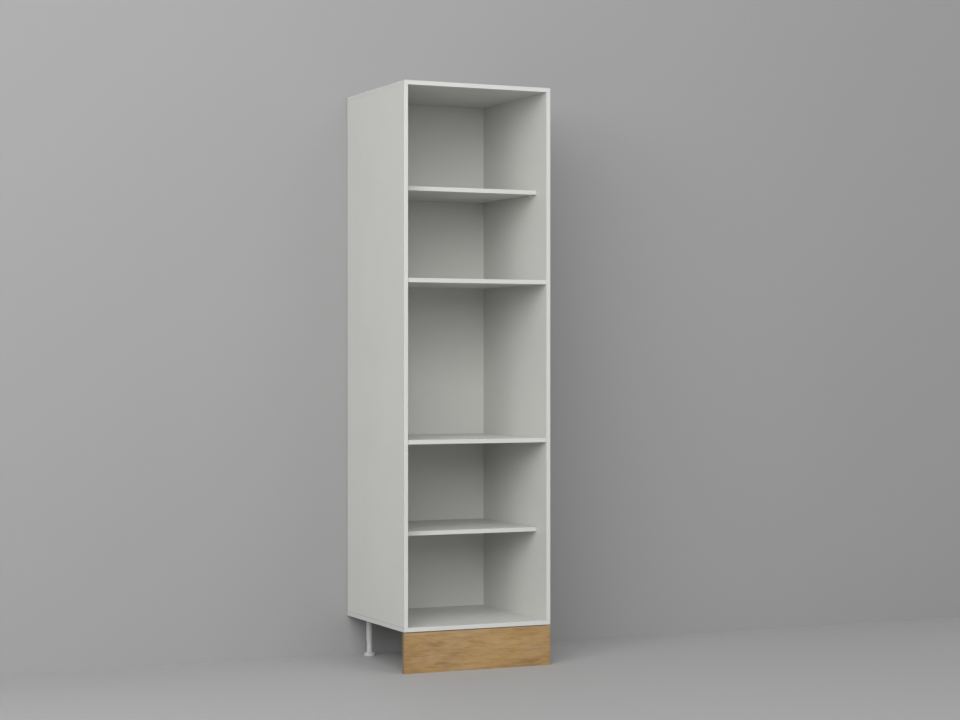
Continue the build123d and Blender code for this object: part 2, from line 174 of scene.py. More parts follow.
@dataclass(frozen=True, eq=False)
class Value:
    """Number, vector, colour or shape that a node tree works out. Numbers are reckoned with as usual."""

    wiring: Wiring
    socket: Socket

    __add__ = __radd__ = operator("ADD")
    __sub__ = operator("SUBTRACT")
    __rsub__ = operator("SUBTRACT", swapped=True)
    __mul__ = __rmul__ = operator("MULTIPLY")
    __truediv__ = operator("DIVIDE")
    __pow__ = operator("POWER")
    __lt__ = operator("LESS_THAN")
    __gt__ = operator("GREATER_THAN")

    def __neg__(self) -> Value:
        """The number with its sign turned."""
        return self * -1.0

    def __abs__(self) -> Value:
        """The number without its sign."""
        return self.wiring.maths("ABSOLUTE", self)


class Wiring:
    """Node tree under construction, for a finish, a part or the world."""

    def __init__(self, tree: bpy.types.NodeTree) -> None:
        """Takes over a tree."""
        self.tree = tree

    def feed(self, socket: Socket, value: object) -> None:
        """Links a socket to another, or sets its own value.

        Args:
            socket: Input to feed.
            value: Value or output socket to link, or a plain number, vector, colour or name.
        """
        source = value.socket if isinstance(value, Value) else value
        if isinstance(source, bpy.types.NodeSocket):
            self.tree.links.new(source, socket)
        elif socket.type == "RGBA":
            socket.default_value = (*source, 1.0)
        else:
            socket.default_value = source

    def give(self, node: bpy.types.Node, **values: object) -> bpy.types.Node:
        """Sets a node's properties and feeds its inputs.

        Args:
            node: The node.
            values: Properties in lower case, then inputs by name, with underscores for spaces.

        Returns:
            The same node.
        """
        for name, value in values.items():
            if name.islower():
                setattr(node, name, value)
            else:
                self.feed(node.inputs[name.replace("_", " ")], value)
        return node

    def add(self, kind: str, *inputs: object, **values: object) -> bpy.types.Node:
        """Adds a node.

        Args:
            kind: Blender's name for the type of node.
            inputs: What its first inputs get, in order.
            values: Properties and named inputs, as for give.

        Returns:
            The new node.
        """
        node = self.give(self.tree.nodes.new(kind), **values)
        for socket, value in zip(node.inputs, inputs):
            self.feed(socket, value)
        return node

    def made(self, kind: str, *inputs: object, output: int | str = 0, **values: object) -> Value:
        """Adds a node and gives one of its outputs."""
        return Value(self, self.add(kind, *inputs, **values).outputs[output])

    def maths(self, operation: str, *terms: object, clamp: bool = False) -> Value:
        """Adds a number operation, whose result can be kept between 0 and 1."""
        return self.made("ShaderNodeMath", *terms, operation=operation, use_clamp=clamp)

    def folded(self, operation: str, terms: list[object]) -> Value:
        """Runs several terms through one operation, pair by pair."""
        return functools.reduce(functools.partial(self.maths, operation), terms)

    def remap(self, value: object, target: tuple[object, object],
              source: tuple[object, object] = NOISE_SPAN, smooth: bool = False) -> Value:
        """Turns one range of numbers into another and clamps it.

        Args:
            value: Number to remap.
            target: What the low and the high end become.
            source: Low and high end of the numbers that come in.
            smooth: Whether the change eases in and out.

        Returns:
            The remapped number.
        """
        easing = "SMOOTHSTEP" if smooth else "LINEAR"
        return self.made("ShaderNodeMapRange", value, *source, *target, clamp=True,
                         interpolation_type=easing)

    def split(self, vector: Value) -> list[Value]:
        """The three components of a vector."""
        return [Value(self, output) for output in self.add("ShaderNodeSeparateXYZ", vector).outputs]

    def vector(self, x: object, y: object, z: object) -> Value:
        """A vector put together from three numbers."""
        return self.made("ShaderNodeCombineXYZ", x, y, z)

    def scaled(self, vector: object, share: object) -> Value:
        """A vector or colour multiplied by one number."""
        return self.made("ShaderNodeVectorMath", vector, operation="SCALE", Scale=share)


class Recipe(Wiring):
    """Material under construction: a principled shader and the patterns that feed it."""

    def __init__(self, name: str) -> None:
        """Starts the material.

        Args:
            name: Name of the finish.
        """
        self.material = bpy.data.materials.new(name)
        self.material.use_nodes = True
        super().__init__(self.material.node_tree)
        self.tree.nodes.clear()
        self.shader = self.add("ShaderNodeBsdfPrincipled")
        self.output = self.add("ShaderNodeOutputMaterial", Surface=self.shader.outputs[0])
        where = self.add("ShaderNodeTexCoord")
        self.place, self.facing = (Value(self, where.outputs[name]) for name in ("Object", "Normal"))

    def stretched(self, scale: Point, vector: Value | None = None, turn: Point = (0, 0, 0)) -> Value:
        """Coordinates, by default the object's own, stretched; a low scale draws a pattern out."""
        return self.made("ShaderNodeMapping", Vector=vector or self.place, Scale=scale, Rotation=turn)

    def noise(self, size: float, vector: Value | None = None, detail: float = 2.0,
              rough: float = 0.5) -> Value:
        """Cloudy noise of about 0.5, with clouds of a size in metres."""
        return self.made("ShaderNodeTexNoise", Vector=vector or self.place, Scale=1.0 / size, Detail=detail,
                         Roughness=rough)

    def cells(self, size: float, vector: Value | None = None) -> tuple[Value, Value]:
        """Irregular cells: the distance from the middle of each, and a random number for each."""
        node = self.add("ShaderNodeTexVoronoi", Vector=vector or self.place, Scale=1.0 / size)
        return Value(self, node.outputs["Distance"]), self.split(node.outputs["Color"])[0]

    def colours(self, value: Value, *stops: tuple[float, Colour]) -> Value:
        """Colour ramp.

        Args:
            value: Number that picks the colour.
            stops: Places from 0 to 1 and their colours.

        Returns:
            The picked colour.
        """
        node = self.add("ShaderNodeValToRGB", value)
        points = node.color_ramp.elements
        while len(points) < len(stops):
            points.new(1.0)
        for point, (place, colour) in zip(points, stops):
            point.position = place
            point.color = (*colour, 1.0)
        return Value(self, node.outputs[0])

    def mix(self, factor: object, first: object, second: object, kind: Mixed = Mixed.COLOURS,
            how: str = "MIX") -> Value:
        """Mixes two things.

        Args:
            factor: Share of the second.
            first: The first.
            second: The second.
            kind: What is mixed.
            how: Blend type of colours.

        Returns:
            The mixture.
        """
        data, places, output = kind.value
        node = self.add("ShaderNodeMix", data_type=data, blend_type=how)
        for place, value in zip(places, (factor, first, second)):
            self.feed(node.inputs[place], value)
        return Value(self, node.outputs[output])

    def relief(self, height: Value, depth: float, **after: Value) -> Value:
        """Bends the normal by a height pattern, of a depth in metres, after the Normal of another."""
        return self.made("ShaderNodeBump", Strength=1.0, Distance=depth, Height=height, **after)

    def finish(self, **values: object) -> None:
        """Feeds the shader's inputs by name."""
        self.give(self.shader, **values)


# ---------------------------------------------------------------- finishes


def along(axis: Axis, share: float, rest: float = 1.0) -> Point:
    """Scales with one value along an axis and another along the other two."""
    return tuple(share if other is axis else rest for other in Axis)


def tinted(colour: Colour, *factors: float) -> Colour:
    """A colour whose parts are multiplied, each by its own factor or all by one."""
    return tuple(part * factor for part, factor in zip(colour, factors * (3 // len(factors))))


@dataclass(frozen=True)
class Finish(ABC):
    """Finish of one kind of surface."""

    name: str

    @abstractmethod
    def write(self, r: Recipe) -> None:
        """Writes the finish's pattern to a material under construction."""

    @functools.cache
    def material(self) -> bpy.types.Material:
        """The finish's material, written once.

        Returns:
            The material.
        """
        recipe = Recipe(self.name)
        self.write(recipe)
        return recipe.material


@dataclass(frozen=True)
class Panel:
    """Extent of one board or band: its corners, and the axis that its two broad faces look along."""

    low: Point
    high: Point
    across: Axis

    @classmethod
    def of(cls, node: str, across: Axis) -> Panel:
        """Reads the extent of a CAD node, to a hundredth of a millimetre."""
        return cls(*(tuple(round(part, 5) for part in corner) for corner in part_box(node)), across)

    @property
    def broad(self) -> list[Axis]:
        """The two axes that lie in the broad faces."""
        return [axis for axis in Axis if axis is not self.across]

    def depth(self, r: Recipe, axes: list[Axis]) -> Value:
        """Distance from the nearest end.

        Args:
            r: Material under construction.
            axes: Axes along which the distance is taken.

        Returns:
            The distance in metres.
        """
        insides = []
        for axis, here in zip(Axis, r.split(r.place)):
            low, high = self.low[axis.value], self.high[axis.value]
            if axis in axes:
                insides.append((high - low) / 2 - abs(here - (low + high) / 2))
        return r.folded("MINIMUM", insides)

    def pressed(self, r: Recipe) -> Value:
        """Marks the pressed faces.

        Args:
            r: Material under construction.

        Returns:
            1 on the two pressed faces and 0 on sawn edges, rabbets and holes.
        """
        square = abs(r.split(r.facing)[self.across.value]) > SQUARE_ON
        outermost = self.depth(r, [self.across]) < PRESSED_SKIN
        return square * outermost


@dataclass(frozen=True)
class Board(Finish):
    """Chipboard with pressed faces. Its sawn edges show coarse chips between fine dust layers."""

    panel: Panel = field(kw_only=True)
    pale: Colour = (0.58, 0.42, 0.25)
    brown: Colour = (0.36, 0.225, 0.115)
    dark: Colour = (0.17, 0.095, 0.045)
    light: Colour = (0.70, 0.55, 0.37)
    coarse: float = 2.6 * MM
    fine: float = 0.7 * MM
    skin: float = 3.0 * MM
    torn: float = 0.35 * MM
    dull: float = 0.93

    def chips(self, r: Recipe) -> tuple[Value, Value]:
        """Pattern of the chips.

        Args:
            r: Material under construction.

        Returns:
            Colour, and height from 0 to 1.
        """
        across = self.panel.across
        big_gap, big_tone = r.cells(self.coarse, r.stretched(along(across, 1.6, rest=0.45)))
        small_gap, small_tone = r.cells(self.fine)
        inside = self.panel.depth(r, [across])
        core = r.remap(inside, UNIT_SPAN, (0.7 * self.skin, 1.5 * self.skin), smooth=True)
        tone = r.mix(core, small_tone, big_tone, Mixed.NUMBERS)
        gap = r.mix(core, small_gap, big_gap, Mixed.NUMBERS)
        picked = r.colours(tone, (0.0, self.dark), (0.18, self.brown), (0.7, self.pale), (1.0, self.light))
        return picked, r.maths("SUBTRACT", 1.0, gap, clamp=True)

    def faced(self, r: Recipe, colour: Value, gloss: Value, normal: Value, shine: float) -> None:
        """Puts a pattern on the pressed faces and chips on everything else.

        Args:
            r: Material under construction.
            colour: Colour of the faces.
            gloss: Their roughness.
            normal: Their relief.
            shine: Specular level.
        """
        chips, height = self.chips(r)
        pressed = self.panel.pressed(r)
        r.finish(Base_Color=r.mix(pressed, chips, colour),
                 Roughness=r.mix(pressed, self.dull, gloss, Mixed.NUMBERS),
                 Normal=r.mix(pressed, r.relief(height, self.torn), normal, Mixed.VECTORS),
                 Specular_IOR_Level=shine)


@dataclass(frozen=True)
class WhiteBoard(Board):
    """White melamine on chipboard, with a pearl grain, wipe marks and a thin dark line at its edges: glue
    line and chipped facing, deepened by painted shade of the gap between boards.
    """

    white: Colour = BOARD_WHITE
    # width of the dark edge line and how dark it gets: glue line and chipped facing with painted shade,
    # darkest near the floor and faint on inward faces
    joint: float = 2.0 * MM
    joint_dark: float = 0.46
    joint_inside: float = 0.94

    def write(self, r: Recipe) -> None:
        """Writes pressed faces, edge lines of glue and painted shade, and sawn edges.

        Args:
            r: Material under construction.
        """
        clouds = r.noise(0.32, detail=3.0)
        paper = r.noise(1.8 * MM, rough=0.6)
        drawn = r.stretched(along(self.panel.broad[0], 0.16), turn=(0.14, 0.1, 0.12))
        wipes = r.noise(0.022, drawn, detail=4.0, rough=0.62)
        tone = r.remap(clouds, (0.985, 1.012)) + r.remap(paper, (-0.006, 0.006))
        tone = tone * r.remap(wipes, (1.0, 0.972), (0.62, 0.8))
        chipped = r.remap(r.noise(3.2 * MM, detail=4.0, rough=0.7), (0.25 * MM, -0.35 * MM), (0.3, 0.75))
        here, way = r.split(r.place), r.split(r.facing)
        inward = here[0] * way[0] < -0.01
        # painted shade: the edge line is darkest low down (0.46 at 0.3 m), fades out by 2 m up, and stays
        # faint (0.94) on faces that look inwards
        joint_shade_by_height = r.remap(here[2], (self.joint_dark, 1.0), (0.3, 2.0))
        closed = r.mix(inward, joint_shade_by_height, self.joint_inside, Mixed.NUMBERS)
        inside = self.panel.depth(r, self.panel.broad) + chipped
        line = r.remap(inside, (closed, 1.0), (0.15 * MM, self.joint), smooth=True)
        warm = tinted(self.white, 1.006, 1.0, 0.985)
        white = r.mix(r.remap(clouds, UNIT_SPAN, (0.25, 0.75)), self.white, warm)
        gloss = r.remap(r.noise(0.11, detail=3.0), (0.40, 0.47)) + r.remap(wipes, (0.0, 0.07), (0.5, 0.8))
        pearl = r.relief(r.noise(0.95 * MM, detail=1.5, rough=0.55), 0.022 * MM)
        telegraph = r.relief(r.noise(14 * MM), 0.03 * MM, Normal=pearl)
        self.faced(r, r.scaled(white, tone * line), gloss, telegraph, 0.42)


@dataclass(frozen=True)
class WhiteBand(Finish):
    """White edge band: smooth, faintly combed along its length and rubbed along its arrises."""

    panel: Panel
    width: Axis
    white: Colour = (0.555, 0.558, 0.545)
    board: Colour = BOARD_WHITE

    def write(self, r: Recipe) -> None:
        """Writes the band's combing, arrises and cut ends.

        Args:
            r: Material under construction.
        """
        (length,) = (axis for axis in self.panel.broad if axis is not self.width)
        combing = r.noise(0.5 * MM, r.stretched(along(length, 0.02)), detail=3.0, rough=0.6)
        clouds = r.noise(0.09, detail=3.0)
        frontal = abs(r.split(r.facing)[Axis.Y.value]) > 0.6
        arris = r.remap(self.panel.depth(r, [self.width]), (1.0, 0.0), (0.2 * MM, 1.4 * MM), smooth=True)
        rubbed = arris * r.remap(r.noise(0.018, detail=5.0, rough=0.7), UNIT_SPAN, (0.48, 0.66))
        ends = r.remap(self.panel.depth(r, [length]), (0.6, 1.0), (0.1 * MM, 0.9 * MM), smooth=True)
        tone = r.mix(frontal, 1.0, ends, Mixed.NUMBERS)
        tone = tone * r.remap(clouds, (0.988, 1.01)) * r.remap(combing, (0.994, 1.004))
        base = r.mix(frontal, self.board, self.white)
        worn = r.mix(rubbed * 0.5, base, tinted(self.white, 1.05, 1.04, 1.0))
        grooves = r.relief(combing, 0.012 * MM)
        r.finish(Base_Color=r.scaled(worn, tone), Roughness=r.remap(clouds, (0.33, 0.39)) + rubbed * 0.12,
                 Normal=r.relief(r.noise(7 * MM, detail=1.0), 0.02 * MM, Normal=grooves),
                 Specular_IOR_Level=0.45)


@dataclass(frozen=True)
class Streak:
    """Place where the wood is darker than elsewhere, drawn out along the grain."""

    x: float
    z: float
    reach: float
    dark: float


@dataclass(frozen=True)
class OakGrain:
    """Oak figure along X: growth bands, fibres, open pores, one small knot, some dark streaks, and painted
    shade that darkens it towards the floor.
    """

    pale: Colour = (0.396, 0.262, 0.128)
    middle: Colour = (0.332, 0.210, 0.091)
    deep: Colour = (0.246, 0.146, 0.056)
    pore: Colour = (0.150, 0.080, 0.030)
    yellower: Colour = (1.01, 0.985, 0.88)
    greyer: Colour = (0.975, 0.99, 1.04)
    knot: Pair = (-0.165, 0.104)
    knot_reach: float = 22 * MM
    knot_lift: float = 9 * MM
    streaks: tuple[Streak, ...] = (
        Streak(-0.165, 0.104, 15 * MM, 0.07),
        Streak(-0.125, 0.034, 24 * MM, 0.08),
        Streak(0.215, 0.016, 26 * MM, 0.10),
    )
    sway: float = 30 * MM
    band: float = 12 * MM
    pore_length: float = 16 * MM
    pore_width: float = 0.55 * MM
    pore_dark: float = 0.34
    lengthwise: float = 0.36  # how much a length along the grain counts round knots and streaks

    def figure(self, r: Recipe) -> tuple[Value, Value, Value]:
        """Pattern of the wood.

        Args:
            r: Material under construction.

        Returns:
            Colour, height from 0 to 1, and share of open pores.
        """
        x, y, z = r.split(r.place)

        def off(place_x: float, place_z: float) -> Value:
            """Distance from a place on the face, with lengths along the grain shortened."""
            gap = r.vector((x - place_x) * self.lengthwise, 0.0, z - place_z)
            return r.made("ShaderNodeVectorMath", gap, operation="LENGTH", output="Value")

        def drawn(size: float, share: float, place: Value, **kind: float) -> Value:
            """Noise drawn out along the grain, whose lengths count for a share."""
            return r.noise(size, r.stretched(along(Axis.X, share), place), **kind)

        swell = r.remap(off(*self.knot), (1.0, 0.0), (0.0, self.knot_reach), smooth=True)
        sway = (drawn(0.05, 0.2, r.place) - 0.5) * self.sway
        bent = r.vector(x, y, z + sway + swell * self.knot_lift)
        growth = drawn(self.band, 0.15, bent, detail=3.0, rough=0.55)
        veins = drawn(3.2 * MM, 0.10, bent, detail=3.0, rough=0.6)
        fibre = drawn(0.8 * MM, 0.035, bent, rough=0.6)
        patch = r.remap(drawn(0.085, 0.45, bent, detail=3.0), (-0.07, 0.07))
        # the term from z is painted shade: the wood is darker towards the floor and lighter towards the
        # plinth's top
        tone = growth * 0.50 + veins * 0.30 + fibre * 0.20 + patch + r.remap(z, (-0.055, 0.040), (0.0, 0.15))
        for streak in self.streaks:
            shade = r.remap(off(streak.x, streak.z), (streak.dark, 0.0), (0.2 * streak.reach, streak.reach),
                            smooth=True)
            tone = tone - shade * r.remap(veins, (1.3, 0.4), (0.35, 0.6))
        colour = r.colours(tone, (0.31, self.deep), (0.47, self.middle), (0.64, self.pale))
        hue = r.remap(drawn(0.034, 0.3, bent), UNIT_SPAN, (0.35, 0.65), smooth=True)
        hues = [r.mix(1.0, colour, tint, how="MULTIPLY") for tint in (self.yellower, self.greyer)]
        colour = r.mix(hue, *hues)
        holes = drawn(self.pore_width * 2.4, self.pore_width / self.pore_length, bent, detail=1.0)
        early = r.remap(growth, (0.05, -0.035), (0.40, 0.6))
        pores = r.remap(holes + early, UNIT_SPAN, (0.62, 0.70), smooth=True)
        return r.mix(pores * self.pore_dark, colour, self.pore), fibre * 0.35 - pores, pores


@dataclass(frozen=True)
class OakBoard(Board):
    """Oak-effect foil on chipboard, with pressed pores, and painted shade along the face's edges and next to
    the floor.
    """

    grain: OakGrain = OakGrain()

    def write(self, r: Recipe) -> None:
        """Writes foil faces and sawn edges.

        Args:
            r: Material under construction.
        """
        wood, height, pores = self.grain.figure(r)
        # painted shade: the foil is darker within 0.9 mm of the face's edges and in its lowest 12 mm next to
        # the floor
        edge = r.remap(self.panel.depth(r, self.panel.broad), (0.66, 1.0), (0.1 * MM, 0.9 * MM), smooth=True)
        low = r.remap(r.split(r.place)[2], (0.93, 1.0), (0.0, 12 * MM), smooth=True)
        gloss = r.remap(r.noise(0.06, detail=3.0), (0.44, 0.53)) + pores * 0.2
        self.faced(r, r.scaled(wood, edge * low), gloss, r.relief(height, 0.09 * MM), 0.4)


@dataclass(frozen=True)
class OakBand(Finish):
    """Oak-effect band on the ends of the plinth: grain drawn up the band, in tones darkened as painted shade.
    """

    # painted shade: these colours are darker than the plinth's oak, for the shade that the plinth's ends
    # stand in
    pale: Colour = (0.300, 0.196, 0.098)
    deep: Colour = (0.196, 0.118, 0.052)

    def write(self, r: Recipe) -> None:
        """Writes the printed grain.

        Args:
            r: Material under construction.
        """
        drawn = r.stretched(along(Axis.Z, 0.05))
        grain = r.noise(1.1 * MM, drawn, detail=4.0, rough=0.65)
        pores = r.remap(r.noise(0.5 * MM, drawn, detail=1.0), UNIT_SPAN, (0.6, 0.7), smooth=True)
        tone = grain - pores * 0.2
        r.finish(Base_Color=r.colours(tone, (0.25, self.deep), (0.65, self.pale)), Specular_IOR_Level=0.4,
                 Roughness=r.remap(grain, (0.45, 0.55)), Normal=r.relief(tone, 0.06 * MM))


@dataclass(frozen=True)
class PieceFinish(Finish):
    """Finish of pieces that are made here, with the slot of the record that it is meant for."""

    slot: Slot


@dataclass(frozen=True)
class Beech(PieceFinish):
    """Beech of the dowels: pink-brown, with short dark flecks along the grain."""

    pale: Colour = (0.56, 0.375, 0.225)
    deep: Colour = (0.40, 0.245, 0.135)
    fleck: Colour = (0.25, 0.13, 0.065)

    def write(self, r: Recipe) -> None:
        """Writes grain that follows each dowel's own length.

        Args:
            r: Material under construction.
        """
        own = r.made("ShaderNodeAttribute", output="Vector", attribute_name="grain_place")
        grain = r.noise(0.9 * MM, r.stretched(along(Axis.Z, 0.06), own), detail=3.0, rough=0.6)
        gap, _ = r.cells(0.8 * MM, r.stretched(along(Axis.Z, 0.22), own))
        flecks = r.remap(gap, (1.0, 0.0), (0.10, 0.22), smooth=True)
        wood = r.colours(grain, (0.3, self.deep), (0.7, self.pale))
        r.finish(Base_Color=r.mix(flecks * 0.45, wood, self.fleck), Roughness=r.remap(grain, (0.62, 0.74)),
                 Normal=r.relief(grain, 0.05 * MM))


@dataclass(frozen=True)
class Zinc(PieceFinish):
    """Bright zinc plating with a faint straw and blue bloom and fine handling scratches."""

    steel: Colour = (0.62, 0.63, 0.65)
    straw: Colour = (0.64, 0.615, 0.555)
    blue: Colour = (0.57, 0.605, 0.66)

    def write(self, r: Recipe) -> None:
        """Writes bloom, scratches and roughness.

        Args:
            r: Material under construction.
        """
        drawn = r.stretched(along(Axis.X, 0.05), turn=(0.2, 0.1, 0.3))
        scratch = r.noise(0.35 * MM, drawn, detail=3.0, rough=0.7)
        spangle, tone = r.cells(2.4 * MM)
        bloom = r.colours(r.noise(9 * MM), (0.32, self.blue), (0.5, self.steel), (0.70, self.straw))
        gloss = r.remap(scratch, (0.26, 0.42), (0.3, 0.75)) + r.remap(tone, (-0.03, 0.03), UNIT_SPAN)
        r.finish(Base_Color=r.scaled(bloom, r.remap(tone, (0.95, 1.03), UNIT_SPAN)), Metallic=1.0,
                 Roughness=gloss, Normal=r.relief(scratch + spangle * 0.2, 0.02 * MM))


@dataclass(frozen=True)
class Moulded(PieceFinish):
    """Moulded plastic: faint flow marks, a spark-eroded grain and scuffs."""

    colour: Colour
    grain: float = 0.35 * MM
    gloss: float = 0.42
    glow: float = 0.0

    def write(self, r: Recipe) -> None:
        """Writes flow marks, grain and scuffs.

        Args:
            r: Material under construction.
        """
        flow = r.noise(11 * MM, r.stretched(along(Axis.Z, 0.45)), detail=3.0)
        tooth = r.noise(self.grain, rough=0.6)
        rubs = r.noise(2.2 * MM, r.stretched((0.3, 1.0, 0.7), turn=(0.4, 0.2, 0.9)), detail=5.0, rough=0.7)
        scuffs = r.remap(rubs, UNIT_SPAN, (0.60, 0.74), smooth=True)
        body = r.colours(flow, (0.3, tinted(self.colour, 0.955)), (0.7, tinted(self.colour, 1.03)))
        r.finish(Base_Color=r.mix(scuffs * 0.10, body, tinted(self.colour, 0.8)),
                 Roughness=r.remap(tooth, (self.gloss - 0.04, self.gloss + 0.05)) + scuffs * 0.14,
                 Normal=r.relief(tooth, 0.025 * MM), Subsurface_Weight=self.glow,
                 Subsurface_Radius=(1.0, 0.9, 0.75), Subsurface_Scale=1.2 * MM)


@dataclass(frozen=True)
class Ground(Finish):
    """Plain pale paint of the floor and of the wall."""

    colour: Colour
    gloss: float
    seen_from_front_only: bool = False
    skirt: float = 0.15

    def write(self, r: Recipe) -> None:
        """Writes the paint. A wall is seen from the front only, and above its skirt it stops no light.

        Args:
            r: Material under construction.
        """
        soft = r.noise(1.6)
        r.finish(Base_Color=r.scaled(self.colour, r.remap(soft, (0.99, 1.01))),
                 Roughness=r.remap(soft, (self.gloss - 0.03, self.gloss + 0.03)),
                 Normal=r.relief(r.noise(3 * MM), 0.03 * MM), Specular_IOR_Level=0.2)
        if self.seen_from_front_only:
            rays = r.add("ShaderNodeLightPath").outputs
            seeing = [rays[f"Is {kind} Ray"] for kind in ("Camera", "Glossy", "Transmission")]
            seen = r.folded("MAXIMUM", [r.split(r.place)[2] < self.skirt, *seeing])
            front = 1.0 - r.made("ShaderNodeNewGeometry", output="Backfacing")
            clear = r.made("ShaderNodeBsdfTransparent")
            r.give(r.output, Surface=r.made("ShaderNodeMixShader", seen * front, clear, r.shader.outputs[0]))


# ---------------------------------------------------------------- meshes


def dress(node: str, finish: Finish) -> None:
    """Gives a CAD node a finish through its material slots.

    Args:
        node: Name of the node.
        finish: Its finish.
    """
    for slot in bpy.data.objects[node].material_slots:
        slot.material = finish.material()
    LOG.info("%s: dressed in %s", node, finish.name)


def shown(name: str, data: bpy.types.ID) -> Thing:
    """Puts a mesh, a lamp or a camera in the scene, at the origin.

    Args:
        name: Name of the object.
        data: What it shows.

    Returns:
        The object.
    """
    thing = bpy.data.objects.new(name, data)
    bpy.context.scene.collection.objects.link(thing)
    return thing


def meshed(name: str, shape: bmesh.types.BMesh) -> Thing:
    """Turns a shape into an object, and uses the shape up.

    Args:
        name: Name of the object.
        shape: Its shape.

    Returns:
        The object.
    """
    mesh = bpy.data.meshes.new(name)
    shape.to_mesh(mesh)
    shape.free()
    return shown(name, mesh)


def settled(thing: Thing) -> Thing:
    """Turns an object's modifiers into a plain mesh.

    Args:
        thing: Object with modifiers.

    Returns:
        The same object, with its result as its own mesh and no modifier.
    """
    graph = bpy.context.evaluated_depsgraph_get()
    mesh = bpy.data.meshes.new_from_object(thing.evaluated_get(graph), depsgraph=graph)
    thing.modifiers.clear()
    old, thing.data = thing.data, mesh
    bpy.data.meshes.remove(old)
    mesh.name = thing.name
    return thing


def turned_outwards(mesh: bpy.types.Mesh) -> None:
    """Points every face of closed shells outwards, and smooths what is round.

    Args:
        mesh: Mesh of the shells.
    """
    shape = bmesh.new()
    shape.from_mesh(mesh)
    bmesh.ops.recalc_face_normals(shape, faces=shape.faces)
    for face in shape.faces:
        face.smooth = True
    for edge in shape.edges:
        edge.smooth = edge.is_manifold and edge.calc_face_angle(0.0) < SMOOTH_BELOW
    shape.to_mesh(mesh)
    shape.free()


def bevelled(thing: Thing, width: float, above: float = 30.0) -> Thing:
    """Rounds the sharp edges of a piece.

    Args:
        thing: Piece to round.
        width: Width of the rounding in metres.
        above: Angle, in degrees, from which an edge is rounded.

    Returns:
        The same object with a plain rounded mesh.
    """
    bevel = thing.modifiers.new("arris", "BEVEL")
    bevel.width = width
    bevel.segments = ARRIS_STEPS
    bevel.limit_method = "ANGLE"
    bevel.angle_limit = math.radians(above)
    bevel.use_clamp_overlap = True
    return settled(thing)


def copied_node(node: str, name: str) -> Thing:
    """Copies the shape of a CAD node, with its triangles joined into faces.

    Args:
        node: Name of the node.
        name: Name of the copy.

    Returns:
        The copy.
    """
    shape = bmesh.new()
    shape.from_mesh(bpy.data.objects[node].data)
    bmesh.ops.remove_doubles(shape, verts=shape.verts, dist=WELD)
    bmesh.ops.dissolve_limit(shape, angle_limit=FLAT_BELOW, use_dissolve_boundaries=False, verts=shape.verts,
                             edges=shape.edges)
    return meshed(name, shape)


def rounded_line(*points: Point) -> list[Pair]:
    """Rounds the corners of a line in a plane.

    Args:
        points: Corners, as two coordinates and the radius of the corner's rounding.

    Returns:
        Points of the rounded line.
    """
    line: list[Pair] = []
    for index, (a, b, radius) in enumerate(points):
        here = Vector((a, b))
        others = (points[index - 1], points[(index + 1) % len(points)])
        to_before, to_after = (Vector(other[:2]) - here for other in others)
        if radius <= 0.0:
            line.append((a, b))
            continue
        half = to_before.angle(to_after) / 2
        reach = min(radius / math.tan(half), CORNER_REACH * to_before.length, CORNER_REACH * to_after.length)
        start = here + to_before.normalized() * reach
        bisector = (to_before.normalized() + to_after.normalized()).normalized()
        centre = here + bisector * (reach * math.tan(half) / math.sin(half))
        sweep = (math.pi - 2 * half) * (1.0 if to_before.cross(to_after) < 0 else -1.0)
        for step in range(CORNER_STEPS + 1):
            line.append(tuple(centre + Matrix.Rotation(sweep * step / CORNER_STEPS, 2) @ (start - centre)))
    return line


class Form:
    """Closed shapes gathered in one mesh. Sizes are millimetres and the mesh comes out in metres."""

    def __init__(self) -> None:
        """Starts with nothing."""
        self.shape = bmesh.new()

    def prism(self, outline: list[Pair], half: float) -> Form:
        """Adds a bar of constant section that runs along Y.

        Args:
            outline: Section in X and Z.
            half: Half of the bar's length.

        Returns:
            The form itself.
        """
        first, last = ([self.shape.verts.new((x, y, z)) for x, z in outline] for y in (-half, half))
        self.shape.faces.new(list(reversed(first)))
        self.shape.faces.new(last)
        for index in range(len(outline)):
            after = (index + 1) % len(outline)
            self.shape.faces.new((first[index], first[after], last[after], last[index]))
        return self

    def turning(self, profile: list[Pair], centre: Pair = (0.0, 0.0), steps: int = TURNED_STEPS,
                ring: bool = False) -> Form:
        """Adds a turned piece round an upright axis.

        Args:
            profile: Radii and heights. Unless it is a ring it starts and ends on the axis.
            centre: Place of the axis.
            steps: Facets round the piece.
            ring: Whether the profile closes on itself, clear of the axis.

        Returns:
            The form itself.
        """
        turns = [math.tau * step / steps for step in range(steps)]
        loops = []
        for radius, height in profile:
            places = [(centre[0] + radius * math.cos(turn), centre[1] + radius * math.sin(turn), height)
                      for turn in (turns if radius else turns[:1])]
            loops.append([self.shape.verts.new(place) for place in places])
        for lower, upper in zip(loops, loops[1:] + loops[:1] if ring else loops[1:]):
            for here in range(steps):
                after = (here + 1) % steps
                corners = [lower[here % len(lower)], lower[after % len(lower)],
                           upper[after % len(upper)], upper[here % len(upper)]]
                unique = list(dict.fromkeys(corners))
                if len(unique) > 2:
                    self.shape.faces.new(unique)
        return self

    def made(self, name: str, move: Matrix | None = None) -> Thing:
        """Hands the form over as an object.

        Args:
            name: Name of the piece.
            move: Placement in metres, used after the sizes are turned into metres.

        Returns:
            The object.
        """
        bmesh.ops.recalc_face_normals(self.shape, faces=self.shape.faces)
        self.shape.transform((move or Matrix.Identity(4)) @ Matrix.Scale(MM, 4))
        return meshed(name, self.shape)


